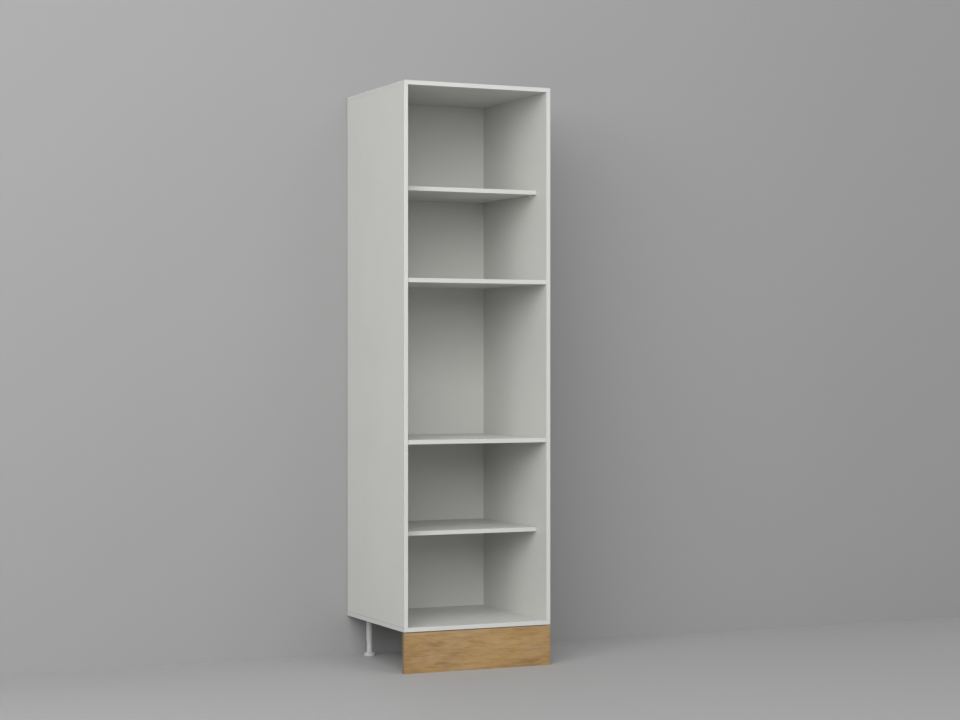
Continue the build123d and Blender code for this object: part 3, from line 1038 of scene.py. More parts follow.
def joined(name: str, *things: Thing) -> Thing:
    """Puts several objects' meshes into one.

    Args:
        name: Name of the piece.
        things: Objects at the origin, which are used up.

    Returns:
        The one object.
    """
    shape = bmesh.new()
    for mesh in [thing.data for thing in things]:
        shape.from_mesh(mesh)
        bpy.data.meshes.remove(mesh)
    return meshed(name, shape)


def fitted(thing: Thing, finish: PieceFinish, body: str, node: str) -> None:
    """Finishes a piece and fixes it to a body of the cabinet.

    Args:
        thing: The piece.
        finish: Its finish.
        body: Body that it moves with.
        node: CAD node that it stands for.
    """
    turned_outwards(thing.data)
    thing.data.materials.clear()
    thing.data.materials.append(finish.material())
    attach(thing, body)
    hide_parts(node)
    LOG.info("%s: %d faces on %s", thing.name, len(thing.data.polygons), body)


def softened(node: str, word: str, width: float, finish: PieceFinish, body: str) -> None:
    """Puts a copy with rounded arrises in a CAD node's place, named after the node and a word."""
    fitted(bevelled(copied_node(node, f"{node}_{word}"), width), finish, body, node)


# ---------------------------------------------------------------- repeated parts


@dataclass(frozen=True)
class Spot:
    """Place of one repeated part in metres, and the way that its own Z looks."""

    point: Point
    outward: Point = UP


class PartTree(Wiring):
    """Geometry Nodes tree that makes one part and sets it at every spot."""

    def __init__(self, name: str) -> None:
        """Starts the tree with its way in and out.

        Args:
            name: Name of the part.
        """
        super().__init__(bpy.data.node_groups.new(name, "GeometryNodeTree"))
        self.tree.is_modifier = True
        self.sizes: dict[str, object] = {}
        for way in ("INPUT", "OUTPUT"):
            self.tree.interface.new_socket("Spots", in_out=way, socket_type=Kind.SHAPE.value)
        self.entry = self.add("NodeGroupInput")

    def given(self, name: str, size: object) -> Value:
        """Adds an input to the tree.

        Args:
            name: Name of the input.
            size: The size, count or object that it gets.

        Returns:
            The input.
        """
        socket = self.tree.interface.new_socket(name, in_out="INPUT", socket_type=Kind.of(size).value)
        self.sizes[socket.identifier] = size
        return Value(self, self.entry.outputs[name])

    def moved(self, shape: Value, up: object = 0.0, **more: object) -> Value:
        """Lifts a shape, and turns or scales it."""
        rise = self.vector(0.0, 0.0, up)
        return self.made("GeometryNodeTransform", Geometry=shape, Translation=rise, **more)

    def together(self, *shapes: Value) -> Value:
        """Joins shapes into one.

        Args:
            shapes: The shapes.

        Returns:
            The one shape.
        """
        node = self.add("GeometryNodeJoinGeometry")
        for shape in shapes:
            self.feed(node.inputs[0], shape)
        return Value(self, node.outputs[0])

    def carved(self, operation: str, first: Value, *others: Value) -> Value:
        """Cuts or crosses closed shapes.

        Args:
            operation: DIFFERENCE or INTERSECT.
            first: Shape that is cut.
            others: Shapes that cut it.

        Returns:
            The result.
        """
        node = self.add("GeometryNodeMeshBoolean", operation=operation, solver="EXACT",
                        Self_Intersection=True)
        self.feed(node.inputs["Mesh 1" if operation == "DIFFERENCE" else "Mesh 2"], first)
        for shape in others:
            self.feed(node.inputs["Mesh 2"], shape)
        return Value(self, node.outputs["Mesh"])

    def block(self, *size: Value) -> Value:
        """Block whose middle is the origin."""
        return self.made("GeometryNodeMeshCube", Size=self.vector(*size))

    def cylinder(self, radius: Value, height: Value, steps: int, rings: int = 1, fill: int = 1) -> Value:
        """Upright cylinder that stands on its origin.

        Args:
            radius: Its radius.
            height: Its height.
            steps: Facets round it.
            rings: Segments up its side.
            fill: Rings on its ends.

        Returns:
            The shape.
        """
        blank = self.made("GeometryNodeMeshCylinder", Vertices=steps, Side_Segments=rings, Fill_Segments=fill,
                          Radius=radius, Depth=height)
        return self.moved(blank, height * 0.5)

    def chamfered(self, radius: Value, height: Value, steps: int, narrow: float) -> Value:
        """Upright cylinder whose two ends are chamfered.

        Args:
            radius: Its radius.
            height: Its height.
            steps: Facets round it.
            narrow: Radius of its ends as a share of the full radius.

        Returns:
            The shape.
        """
        blank = self.cylinder(radius, height, steps, rings=8)
        middle = height * 0.5
        z = self.position()[2]
        return self.slimmed(blank, self.remap(abs(z - middle) / middle, (1.0, narrow), (0.75, 1.0)), z)

    def position(self) -> list[Value]:
        """The coordinates of each point of a shape."""
        return self.split(self.made("GeometryNodeInputPosition"))

    def placed(self, shape: Value, x: Value, y: Value, z: Value) -> Value:
        """Sets the position of each point of a shape."""
        return self.made("GeometryNodeSetPosition", Geometry=shape, Position=self.vector(x, y, z))

    def slimmed(self, shape: Value, share: Value, z: Value) -> Value:
        """Multiplies each point's distance from the axis by a share, and sets its height."""
        x, y, _ = self.position()
        return self.placed(shape, x * share, y * share, z)

    def thread(self, radius: Value, depth: Value, pitch: Value, length: Value, steps: int) -> Value:
        """Right-hand thread ridge that climbs from the origin.

        Args:
            radius: Radius over the crest.
            depth: Height of the ridge over the core.
            pitch: Rise of one turn.
            length: Height of the thread.
            steps: Facets in one turn.

        Returns:
            The closed ridge, sunk a little into the core.
        """
        root = radius - depth * THREAD_DEPTH
        helix = self.made("GeometryNodeCurveSpiral", Resolution=steps, Rotations=length / pitch,
                          Start_Radius=root, End_Radius=root, Height=length, Reverse=True)
        upright = self.made("GeometryNodeSetCurveNormal", mode="Z_UP", Curve=helix)
        ridge = self.made("GeometryNodeCurvePrimitiveCircle", Resolution=3, Radius=depth * THREAD_DEPTH)
        wide = pitch * THREAD_FOOT / (depth * THREAD_WIDTH)
        crest = self.moved(ridge, Rotation=(0.0, 0.0, math.pi), Scale=self.vector(1.0, wide, 1.0))
        return self.made("GeometryNodeCurveToMesh", Curve=upright, Profile_Curve=crest, Fill_Caps=True)

    def close(self, shape: Value, part: Part) -> None:
        """Sets the part at every spot, and ends the tree.

        Args:
            shape: Shape of the part.
            part: The part.
        """
        outward = self.made("GeometryNodeInputNamedAttribute", data_type="FLOAT_VECTOR", Name="outward",
                            output="Attribute")
        axis, pivot = ("X", "Z") if part.upright else ("Z", "AUTO")
        turn = self.made("FunctionNodeAlignRotationToVector", axis=axis, pivot_axis=pivot, Vector=outward)
        if part.by_chance:
            chance = self.add("FunctionNodeRandomValue", data_type="FLOAT", Seed=SEED)
            self.feed(chance.inputs[3], math.tau)
            roll = self.made("FunctionNodeAxisAngleToRotation", Axis=UP, Angle=chance.outputs[1])
            turn = self.made("FunctionNodeRotateRotation", rotation_space="LOCAL", Rotation=turn,
                             Rotate_By=roll)
        copies = self.made("GeometryNodeInstanceOnPoints", Points=self.entry.outputs[0], Instance=shape,
                           Rotation=turn, Scale=(part.scale,) * 3)
        self.add("NodeGroupOutput", self.made("GeometryNodeRealizeInstances", copies))

    def run(self, name: str, spots: list[Spot]) -> Thing:
        """Makes the parts at their spots.

        Args:
            name: Name of the piece.
            spots: Where the parts go.

        Returns:
            One plain mesh of all the parts.
        """
        mesh = bpy.data.meshes.new(name)
        mesh.from_pydata([spot.point for spot in spots], [], [])
        ways = mesh.attributes.new("outward", "FLOAT_VECTOR", "POINT")
        for item, spot in zip(ways.data, spots):
            item.vector = spot.outward
        thing = shown(name, mesh)
        works = thing.modifiers.new("parts", "NODES")
        works.node_group = self.tree
        for identifier, size in self.sizes.items():
            works[identifier] = size
        return settled(thing)


@dataclass(frozen=True)
class Part(ABC):
    """Part that is repeated. Its sizes are millimetres, and each becomes an input of its tree."""

    by_chance: ClassVar[bool] = False  # whether each copy is turned about its own axis by chance
    upright: ClassVar[bool] = False  # whether copies stay upright and turn their X outwards, not their Z
    scale: ClassVar[float] = MM  # from the part's unit to metres

    @abstractmethod
    def shape(self, t: PartTree, s: SimpleNamespace) -> Value:
        """The part's shape, with its spot at the origin, made in a tree from the sizes that it is given."""

    def copies(self, name: str, spots: list[Spot]) -> Thing:
        """Makes the part at every spot.

        Args:
            name: Name of the piece.
            spots: Where the parts go.

        Returns:
            One plain mesh of all the parts.
        """
        tree = PartTree(type(self).__name__)
        sizes = {size.name: tree.given(size.name, getattr(self, size.name)) for size in fields(self)}
        tree.close(self.shape(tree, SimpleNamespace(**sizes)), self)
        return tree.run(name, spots)


@dataclass(frozen=True)
class Screw(Part):
    """Cross-recess chipboard screw with its head up and its shank down, by default with a pan head."""

    by_chance: ClassVar[bool] = True
    dome: ClassVar[float] = 3.2  # how late the crown falls away towards the rim
    recess_foot: ClassVar[float] = 0.42  # size of the recess at its bottom as a share of its mouth
    overlap: ClassVar[float] = 0.3  # how far the shank reaches into the head
    head_radius: float = 3.8
    head_height: float = 2.2
    head_sink: float = 0.0
    neck_radius: float = 3.8
    crown: float = 0.8
    shank_radius: float = 2.0
    length: float = 10.0
    thread_depth: float = 0.5
    pitch: float = 1.8
    tip: float = 4.0
    recess_span: float = 4.2
    recess_width: float = 1.05
    recess_depth: float = 1.3

    def shape(self, t: PartTree, s: SimpleNamespace) -> Value:
        """Puts head and shank together."""
        return t.together(t.moved(self.head(t, s), -s.head_sink), self.shank(t, s))

    def head(self, t: PartTree, s: SimpleNamespace) -> Value:
        """Makes the head, with a domed top, a straight or tapered side and a cross recess.

        Args:
            t: Tree under construction.
            s: The screw's sizes.

        Returns:
            The head on its seat.
        """
        blank = t.cylinder(s.head_radius, s.head_height, 36, rings=4, fill=6)
        x, y, z = t.position()
        rise = z / s.head_height
        fall = (t.maths("SQRT", x * x + y * y) / s.head_radius) ** self.dome * s.crown * rise
        side = t.remap(rise, (s.neck_radius / s.head_radius, 1.0), UNIT_SPAN)
        wings = []
        for quarter in (0.0, math.pi / 2):
            wing = t.block(s.recess_span, s.recess_width, s.recess_depth * 2.0)
            below = t.position()[2]
            wing = t.slimmed(wing, t.remap(below, (self.recess_foot, 1.0), (-s.recess_depth, 0.0)), below)
            wings.append(t.moved(wing, s.head_height, Rotation=(0.0, 0.0, quarter)))
        return t.carved("DIFFERENCE", t.slimmed(blank, side, z - fall), *wings)

    def shank(self, t: PartTree, s: SimpleNamespace) -> Value:
        """Makes the threaded shank, which narrows to its point.

        Args:
            t: Tree under construction.
            s: The screw's sizes.

        Returns:
            The shank below the seat, with its top a little inside the head.
        """
        length = s.length + self.overlap - s.head_sink
        core = t.cylinder(s.shank_radius - s.thread_depth, length, 16, rings=24)
        ridge = t.thread(s.shank_radius, s.thread_depth, s.pitch, length - s.pitch * 1.2, 14)
        z = t.position()[2]
        return t.moved(t.slimmed(t.together(core, ridge), t.remap(z, (0.1, 1.0), (0.0, s.tip)), z), -s.length)


@dataclass(frozen=True)
class Dowel(Part):
    """Fluted dowel with chamfered ends, centred on its spot."""

    by_chance: ClassVar[bool] = True
    rings: ClassVar[int] = 31
    radius: float = 4.0
    length: float = 30.0
    flute: float = 0.28
    chamfer: float = 1.4
    flutes: int = 14

    def shape(self, t: PartTree, s: SimpleNamespace) -> Value:
        """Sweeps the fluted section, and keeps each point's place for the grain.

        Args:
            t: Tree under construction.
            s: The dowel's sizes.

        Returns:
            The shape.
        """
        half = s.length * 0.5
        ends = {"Start": t.vector(0.0, 0.0, -half), "End": t.vector(0.0, 0.0, half)}
        spaced = t.made("GeometryNodeResampleCurve", Curve=t.made("GeometryNodeCurvePrimitiveLine", **ends),
                        Count=self.rings)
        star = t.made("GeometryNodeCurveStar", Points=s.flutes, Inner_Radius=s.radius - s.flute,
                      Outer_Radius=s.radius)
        slim = t.remap(half - abs(t.position()[2]), (0.8, 1.0), (0.0, s.chamfer))
        sweep = t.made("GeometryNodeCurveToMesh", Curve=spaced, Profile_Curve=star, Scale=slim,
                       Fill_Caps=True)
        own = t.scaled(t.made("GeometryNodeInputPosition"), MM)
        return t.made("GeometryNodeStoreNamedAttribute", data_type="FLOAT_VECTOR", domain="POINT",
                      Name="grain_place", Geometry=sweep, Value=own)


@dataclass(frozen=True)
class LevellingScrew(Part):
    """Levelling screw on its spot: swivel stub, chamfered spanner hexagon, shank and thread."""

    ends: ClassVar[Point] = (0.93, 0.90, 0.955)  # of stub, hexagon and shank, as shares of their radii
    hexagon: float
    shank: float
    stub_radius: float = 6.0
    stub: float = 6.8
    hexagon_radius: float = 12.0
    shank_radius: float = 10.5
    thread_radius: float = 7.0
    thread: float = 35.0
    thread_depth: float = 1.1
    pitch: float = 4.0

    def shape(self, t: PartTree, s: SimpleNamespace) -> Value:
        """Stacks the four lengths of the screw.

        Args:
            t: Tree under construction.
            s: The screw's sizes.

        Returns:
            The shape.
        """
        stub_end, hexagon_end, shank_end = self.ends
        foot = t.moved(t.chamfered(s.stub_radius, s.stub, 32, stub_end), -s.stub)
        sides = t.cylinder(s.hexagon_radius, s.hexagon, 6)
        nut = t.carved("INTERSECT", sides, t.chamfered(s.hexagon_radius, s.hexagon, 48, hexagon_end))
        body = t.moved(t.chamfered(s.shank_radius, s.shank, 40, shank_end), s.hexagon)
        core = t.cylinder(s.thread_radius - s.thread_depth, s.thread, 32, rings=2)
        ridge = t.thread(s.thread_radius, s.thread_depth, s.pitch, s.thread - s.pitch * 0.5, 28)
        stem = t.moved(t.together(core, t.moved(ridge, s.pitch * 0.2)), s.hexagon + s.shank)
        return t.together(foot, nut, body, stem)


@dataclass(frozen=True)
class Ribs(Part):
    """Ring of tapered ribs round a collar, below a moulded plate; a rib's own Z runs away from the plate."""

    inner: float
    outer: float = 25.0
    height: float = 3.0
    thick: float = 1.4
    count: int = 8

    def shape(self, t: PartTree, s: SimpleNamespace) -> Value:
        """Sets one rib round a circle.

        Args:
            t: Tree under construction.
            s: The ribs' sizes.

        Returns:
            The shape.
        """
        long = s.outer - s.inner
        half = long * 0.5
        blank = t.block(long, s.thick, s.height)
        x, y, z = t.position()
        rib = t.placed(blank, x, y, (z + s.height * 0.5) * t.remap(x, (1.0, 0.3), (-half, half)))
        ring = t.made("GeometryNodeMeshCircle", Vertices=s.count, Radius=(s.inner + s.outer) * 0.5)
        x, y, _ = t.position()
        spin = t.made("FunctionNodeAxisAngleToRotation", Axis=UP, Angle=t.maths("ARCTAN2", y, x))
        return t.made("GeometryNodeInstanceOnPoints", Points=ring, Instance=rib, Rotation=spin)


@dataclass(frozen=True)
class Copy(Part):
    """Copy of a piece in metres, kept upright, with its own X turned the way that its spot looks."""

    upright: ClassVar[bool] = True
    scale: ClassVar[float] = 1.0
    piece: Thing

    def shape(self, t: PartTree, s: SimpleNamespace) -> Value:
        """Takes over the piece's mesh."""
        return t.made("GeometryNodeObjectInfo", output="Geometry", Object=s.piece)


# ---------------------------------------------------------------- the cabinet


ZINC = Zinc("bright_zinc", Slot.SCREW)
BEECH = Beech("beech", Slot.DOWEL)
PLATED = Zinc("zinc_sheet", Slot.SHEET)
SUPPORT_WHITE = Moulded("support_plastic", Slot.SUPPORT, colour=(0.62, 0.62, 0.61), glow=0.1)
CLIP_GREY = Moulded("clip_plastic", Slot.CLIP, colour=(0.58, 0.58, 0.57))
LEG_GREY = Moulded("leg_plastic", Slot.LEG, colour=(0.505, 0.505, 0.492))
COUNTERSUNK = Screw(head_radius=3.5, head_sink=2.2, neck_radius=1.75, crown=0.12, shank_radius=1.75,
                    length=25.0, thread_depth=0.45, tip=5.0, recess_span=3.7, recess_width=0.95,
                    recess_depth=1.4)
GRIP = 10.0  # how far pan-head screws go into their board, in millimetres
LEVELS = ("lower", "upper")


def pan_screws(name: str, body: str, node: str, held: float, spots: list[Spot]) -> None:
    """Builds pan-head screws at the seats of their heads, for the thickness of what they hold."""
    fitted(Screw(length=GRIP + held).copies(name, spots), ZINC, body, node)


def evenly(low: float, high: float, count: int) -> list[float]:
    """Places at equal steps from one end to the other."""
    return [low + (high - low) * index / (count - 1) for index in range(count)]


@dataclass
class Assembly(ABC):
    """Group of pieces that is built and dressed together."""

    @abstractmethod
    def build(self) -> None:
        """Builds the group's pieces and dresses them."""

    def white(self, board: str, across: Axis, band: str) -> None:
        """Dresses a board, whose faces look along an axis, in white melamine, and its bands in white."""
        dress(board, WhiteBoard(f"white_board.{board}", panel=Panel.of(board, across)))
        dress(band, WhiteBand(f"white_band.{band}", Panel.of(band, Axis.Y), across))


@dataclass
class Carcass(Assembly):
    """Side, top, bottom and back panels with their bands, and the dowels and screws that join them."""

    dowel: Dowel = Dowel()
    dowel_in_face: float = 11.0
    dowel_inset: float = 50.0
    shelf_dowel_rows: Pair = (-240.0, 235.0)
    lap: float = 9.0
    screw_end: float = 60.0

    def build(self) -> None:
        """Dresses the panels and builds dowels and back screws."""
        for side in Side:
            self.white(f"{side.word}_side_panel", Axis.X, f"{side.word}_side_edge_band")
        for name in ("top", "bottom"):
            self.white(f"{name}_panel", Axis.Z, f"{name}_panel_edge_bands")
        dress("back_panel", WhiteBoard("white_board.back_panel", panel=Panel.of("back_panel", Axis.Y)))
        self.dowels()
        self.back_screws()

    @property
    def shelves(self) -> list[float]:
        """Middle heights of the fixed shelves."""
        return [sum(corner.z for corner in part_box(f"{level}_fixed_shelf")) / 2 for level in LEVELS]

    def dowels(self) -> None:
        """Builds the dowels of the corner joints and of the fixed shelves."""
        low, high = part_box("left_side_panel")
        middle = abs(low.x + high.x) / 2
        shift = (self.dowel.length / 2 - self.dowel_in_face) * MM
        rear = high.y - self.dowel_inset * MM
        shelf_rows = evenly(*(y * MM for y in self.shelf_dowel_rows), 4)
        spots = []
        for side in Side:
            for z in (low.z + shift, high.z - shift):
                spots += [Spot((middle * side.value, y, z)) for y in evenly(-rear, rear, 5)]
            inner = (abs(high.x) - shift) * side.value
            spots += [Spot((inner, y, z), (1, 0, 0)) for z in self.shelves for y in shelf_rows]
        fitted(self.dowel.copies("carcass_dowels_fluted", spots), BEECH, "carcass", "carcass_dowels")

    def back_screws(self) -> None:
        """Builds the countersunk screws round the back panel."""
        low, high = (corner.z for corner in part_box("left_side_panel"))
        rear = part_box("back_panel")[1].y
        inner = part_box("right_side_panel")[0].x
        end, lap = self.screw_end * MM, self.lap / 2 * MM
        rows, columns = evenly(low + end, high - end, 6), evenly(end - inner, inner - end, 3)
        places = [((inner + lap) * side.value, z) for side in Side for z in rows]
        places += [(x, z) for z in (low - lap, *self.shelves, high + lap) for x in columns]
        spots = [Spot((x, rear, z), (0, 1, 0)) for x, z in places]
        fitted(COUNTERSUNK.copies("back_screws_countersunk", spots), ZINC, "carcass", "back_panel_screws")


@dataclass
class Shelves(Assembly):
    """Two fixed and two adjustable shelves, and the plug-in supports under the adjustable ones."""

    inset: float = 50.0
    wide: float = 12.0
    drop: float = 12.0
    reach: float = 9.0
    wall: float = 2.0
    web: float = 2.0
    peg: float = 2.5
    peg_length: float = 9.0
    peg_root: float = 0.5

    def build(self) -> None:
        """Dresses the shelves and builds the supports."""
        for level in LEVELS:
            for kind in ("fixed", "adjustable"):
                shelf = f"{level}_{kind}_shelf"
                self.white(shelf, Axis.Z, f"{shelf}_edge_band")
            self.supports(level)

    def moulding(self) -> Thing:
        """Makes one support that looks along X from the wall, with its ledge's top at height 0.

        Returns:
            The support.
        """
        w, d, reach, peg, long = self.wall, self.drop, self.reach, self.peg, self.peg_length
        angle = rounded_line((0, -d, 0.3), (w, -d, 0.7), (w, -w, 1.2), (reach, -w, 0.8), (reach, 0, 0.5),
                             (0, 0, 0.2))
        web = rounded_line((w / 2, -w / 2, 0), (reach - 0.8, -w / 2, 0), (reach - 0.8, -w - 0.3, 0.6),
                           (w + 0.2, -d + 0.8, 0.6), (w / 2, -d + 0.8, 0))
        pin = rounded_line((0, -self.peg_root, 0), (peg, -self.peg_root, 0), (peg, long, 0.9), (0, long, 0))
        turn = Matrix.Translation((0, 0, -d / 2 * MM)) @ Matrix.Rotation(-math.pi / 2, 4, "Y")
        bars = [Form().prism(angle, self.wide / 2).made("angle"), Form().prism(web, self.web / 2).made("web")]
        whole = joined("support", *bars, Form().turning(pin, steps=28).made("peg", turn))
        return bevelled(whole, 0.25 * MM, above=40.0)

    def supports(self, level: str) -> None:
        """Sets the four supports of one adjustable shelf.

        Args:
            level: Lower or upper.
        """
        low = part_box(f"{level}_adjustable_shelf_edge_band")[0]
        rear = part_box(f"{level}_adjustable_shelf")[1].y
        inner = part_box("right_side_panel")[0].x
        rows = (low.y + self.inset * MM, rear - self.inset * MM)
        spots = [Spot((side.value * inner, y, low.z), (-side.value, 0, 0)) for side in Side for y in rows]
        model = self.moulding()
        thing = Copy(model).copies(f"{level}_shelf_supports_moulded", spots)
        bpy.data.objects.remove(model)
        fitted(thing, SUPPORT_WHITE, "carcass", f"{level}_shelf_supports")


@dataclass
class Leg(Assembly):
    """One levelling leg: socket plate, tube, levelling screw and foot pad. Sizes across are radii."""

    name: str
    tube: float = 12.0
    thread_bore: float = 7.05
    bore: float = 9.0
    threaded: float = 40.0
    pad: float = 22.0
    pad_top: float = 14.0
    pad_height: float = 13.0
    rim: float = 9.0
    hollow: float = 1.4
    tread: float = 5.0
    hexagon: float = 5.0
    collar_wall: float = 2.2
    collar_drop: float = 3.0
    clearance: float = 0.3
    stub_bore: float = 6.05
    stub_depth: float = 7.0
    spacing: float = 21.0

    @property
    def centre(self) -> Pair:
        """Place of the leg's axis, in millimetres."""
        low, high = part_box(f"{self.name}_foot_pad")
        return (low.x + high.x) / 2 / MM, (low.y + high.y) / 2 / MM

    @property
    def ends(self) -> Pair:
        """Heights of the tube's lower and upper end, in millimetres."""
        return tuple(corner.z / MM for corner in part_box(f"{self.name}_leg_tube"))

    def spot(self, x: float, y: float, z: float, up: int) -> Spot:
        """Spot at a place in millimetres from the leg's axis and the floor, looking up (1) or down (-1)."""
        return Spot(((self.centre[0] + x) * MM, (self.centre[1] + y) * MM, z * MM), (0, 0, up))

    def build(self) -> None:
        """Builds the leg from the floor up."""
        self.foot()
        self.screw()
        self.pipe()
        self.socket()

    def foot(self) -> None:
        """Turns the foot pad, with a hollow underside and a socket for the stub."""
        pad, height, bore, hollow = self.pad, self.pad_height, self.stub_bore, self.hollow
        deep, inner = height - self.stub_depth, pad - self.tread
        line = rounded_line((0, hollow, 0), (inner - 1, hollow, 0.8), (inner, 0, 0.3), (pad - 0.3, 0, 0.8),
                            (pad, self.rim, 1.5), (self.pad_top, height, 1.0), (bore, height, 0.4),
                            (bore, deep, 0), (0, deep, 0))
        thing = Form().turning(line, self.centre).made(f"{self.name}_foot_turned")
        fitted(thing, LEG_GREY, f"{self.name}_foot", f"{self.name}_foot_pad")

    def screw(self) -> None:
        """Makes the levelling screw."""
        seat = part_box(f"{self.name}_foot_pad")[1].z / MM
        part = LevellingScrew(hexagon=self.hexagon, shank=self.ends[0] - seat - self.hexagon)
        thing = part.copies(f"{self.name}_levelling_stem", [self.spot(0.0, 0.0, seat, 1)])
        fitted(thing, LEG_GREY, f"{self.name}_screw", f"{self.name}_levelling_screw")

    def pipe(self) -> None:
        """Turns the leg tube with its stepped bore."""
        low, high = self.ends
        step = low + self.threaded
        line = rounded_line((self.thread_bore, low, 0.4), (self.tube, low, 0.9), (self.tube, high, 0.3),
                            (self.bore, high, 0.3), (self.bore, step, 0), (self.thread_bore, step, 0))
        thing = Form().turning(line, self.centre, ring=True).made(f"{self.name}_leg_pipe")
        fitted(thing, LEG_GREY, "carcass", f"{self.name}_leg_tube")

    def socket(self) -> None:
        """Makes the socket plate: the CAD shape with softened arrises, a collar and a ring of ribs."""
        node, under = f"{self.name}_leg_socket", self.ends[1]
        inner = self.tube + self.clearance
        outer, low, high = inner + self.collar_wall, under - self.collar_drop, under + 0.5
        line = rounded_line((inner, low, 0.3), (outer, low, 0.5), (outer, high, 0), (inner, high, 0))
        plate = bevelled(copied_node(node, "plate"), 0.4 * MM)
        collar = Form().turning(line, self.centre, ring=True).made("collar")
        ribs = Ribs(inner=outer - 0.4).copies("ribs", [self.spot(0.0, 0.0, under + 0.3, -1)])
        fitted(joined(f"{node}_moulded", plate, collar, ribs), LEG_GREY, "carcass", node)

    def screw_spots(self) -> list[Spot]:
        """Seats of the socket's four screws, which are driven upwards."""
        offsets = (-self.spacing, self.spacing)
        return [self.spot(x, y, self.ends[1], -1) for x in offsets for y in offsets]


@dataclass
class Legs(Assembly):
    """The four levelling legs and their screws."""

    names: tuple[str, ...] = ("front_left", "front_right", "rear_left", "rear_right")
    plate: float = 4.0

    def build(self) -> None:
        """Builds each leg and the screws of all four sockets."""
        legs = [Leg(name) for name in self.names]
        for leg in legs:
            leg.build()
        spots = [spot for leg in legs for spot in leg.screw_spots()]
        pan_screws("leg_socket_pan_screws", "carcass", "leg_socket_screws", self.plate, spots)


@dataclass
class Plinth(Assembly):
    """Oak-effect plinth with its end bands, brackets and leg clips."""

    ear: float = 3.0
    spacing: float = 22.0

    def build(self) -> None:
        """Dresses the board and builds brackets, clips and screws."""
        dress("plinth_board", OakBoard("oak_board", panel=Panel.of("plinth_board", Axis.Y)))
        spots = []
        for side in Side:
            dress(f"{side.word}_plinth_edge_band", OakBand("oak_band"))
            for kind in ("bracket", "clip"):
                softened(f"{side.word}_plinth_{kind}", "moulded", 0.3 * MM, CLIP_GREY, "plinth")
            low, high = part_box(f"{side.word}_plinth_bracket")
            x, z = (low.x + high.x) / 2, (low.z + high.z) / 2
            seat = low.y + self.ear * MM
            spots += [Spot((x + way * self.spacing * MM, seat, z), (0, 1, 0)) for way in (-1, 1)]
        pan_screws("plinth_bracket_pan_screws", "plinth", "plinth_bracket_screws", self.ear, spots)


@dataclass
class WallFixing(Assembly):
    """Folded steel angles on the top panel and their screws."""

    sheet: float = 2.0
    spacing: float = 11.0
    from_rear: float = 26.0

    def build(self) -> None:
        """Builds both angles and their screws."""
        spots = []
        for side in Side:
            node = f"{side.word}_wall_bracket"
            softened(node, "folded", 0.25 * MM, PLATED, "carcass")
            low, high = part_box(node)
            x, y, z = (low.x + high.x) / 2, high.y - self.from_rear * MM, low.z + self.sheet * MM
            spots += [Spot((x + way * self.spacing * MM, y, z)) for way in (-1, 1)]
        pan_screws("wall_bracket_pan_screws", "carcass", "wall_bracket_screws", self.sheet, spots)


# ---------------------------------------------------------------- studio


@dataclass(frozen=True)
class Lamp:
    """Square soft lamp that looks at the middle of the cabinet."""

    name: str
    turn: float  # degrees round from the front; the cabinet's left is negative
    rise: float  # degrees above level
    power: float  # watts
    size: float = 4.5
    away: float = 9.0
    aim: Point = (0.0, 0.0, 1.1)

    def build(self) -> None:
        """Hangs the lamp."""
        turn, rise = math.radians(self.turn), math.radians(self.rise)
        way = Vector((math.sin(turn) * math.cos(rise), -math.cos(turn) * math.cos(rise), math.sin(rise)))
        light = bpy.data.lights.new(self.name, "AREA")
        light.energy = self.power
        light.size = self.size
        thing = shown(self.name, light)
        thing.location = Vector(self.aim) + way * self.away
        thing.rotation_euler = way.to_track_quat("Z", "Y").to_euler()
        thing.visible_camera = False


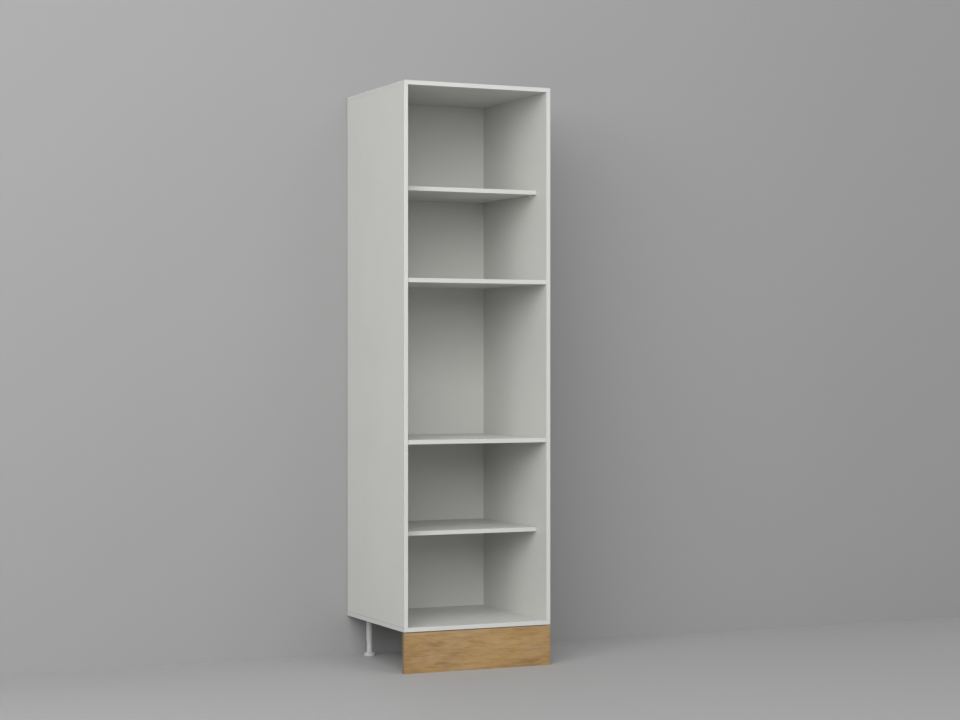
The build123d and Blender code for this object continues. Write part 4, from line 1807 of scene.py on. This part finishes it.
@dataclass
class Studio:
    """Pale floor and wall, soft lamps, world and camera."""

    lamps: tuple[Lamp, ...] = (
        Lamp("side_lamp", -50, 20, 268.0),
        Lamp("low_lamp", -50, 5, 74.0),
        Lamp("front_lamp", -20, 20, 303.0),
        Lamp("high_lamp", -35, 50, 127.0),
        Lamp("fill_lamp", 25, 35, 107.0),
        Lamp("right_lamp", 65, 10, 46.0),
        Lamp("rear_lamp", 180, 5, 50.0),
    )
    sky: float = 0.36
    beyond: Colour = (0.50, 0.50, 0.495)
    wall: Ground = Ground("wall_paint", (0.312, 0.312, 0.312), 0.7, seen_from_front_only=True)
    floor: Ground = Ground("floor_paint", (0.396, 0.396, 0.396), 0.6)
    wall_gap: float = 4.0
    wall_height: float = 7.0
    half_width: float = 12.0
    floor_front: float = -6.5
    floor_rear: float = 7.0
    stand: Point = (-3.29642, -7.59376, 1.15503)
    turn: float = -24.3576
    lens: float = 80.33
    sensor: float = 36.0
    shift: Pair = (-0.00052, 0.00052)

    def build(self) -> None:
        """Builds the studio."""
        scene = bpy.context.scene
        scene.view_settings.view_transform = "Standard"
        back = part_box("back_panel")[1].y + self.wall_gap * MM
        self.surface("floor", self.floor, (self.floor_front, 0), (self.floor_rear, 0))
        self.surface("wall", self.wall, (back, 0), (back, self.wall_height))
        self.world(scene)
        for lamp in self.lamps:
            lamp.build()
        self.camera(scene)

    def surface(self, name: str, paint: Ground, first: Pair, last: Pair) -> None:
        """Lays a floor or puts up a wall.

        Args:
            name: Name of the surface.
            paint: Its paint.
            first: Y and Z of its first edge, which runs along X.
            last: Y and Z of its last edge.
        """
        mesh = bpy.data.meshes.new(name)
        wide = self.half_width
        corners = [(-wide, *first), (wide, *first), (wide, *last), (-wide, *last)]
        mesh.from_pydata(corners, [], [(0, 1, 2, 3)])
        mesh.materials.append(paint.material())
        shown(name, mesh)

    def world(self, scene: bpy.types.Scene) -> None:
        """Lights the room evenly, and shows pale grey beyond the floor.

        Args:
            scene: Scene that gets the world.
        """
        scene.world = bpy.data.worlds.new("room")
        scene.world.use_nodes = True
        w = Wiring(scene.world.node_tree)
        w.tree.nodes.clear()
        seen = w.made("ShaderNodeLightPath", output="Is Camera Ray")
        glow = w.made("ShaderNodeBackground", (1.0, 1.0, 1.0), self.sky)
        w.add("ShaderNodeOutputWorld",
              w.made("ShaderNodeMixShader", seen, glow, w.made("ShaderNodeBackground", self.beyond)))

    def camera(self, scene: bpy.types.Scene) -> None:
        """Stands the camera level, to the left of the cabinet's front.

        Args:
            scene: Scene that gets the camera.
        """
        eye = bpy.data.cameras.new("camera")
        eye.lens = self.lens
        eye.sensor_width = self.sensor
        eye.shift_x, eye.shift_y = self.shift
        scene.camera = shown("camera", eye)
        scene.camera.location = self.stand
        scene.camera.rotation_euler = (math.pi / 2, 0.0, math.radians(self.turn))


# ---------------------------------------------------------------- the whole


def main() -> None:
    """Loads the frame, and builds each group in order."""
    logging.basicConfig(level=logging.INFO, format="%(name)s: %(message)s")
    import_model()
    for group in (Carcass, Shelves, Legs, Plinth, WallFixing, Studio):
        LOG.info("building %s", group.__name__)
        group().build()


if __name__ == "__main__":
    main()
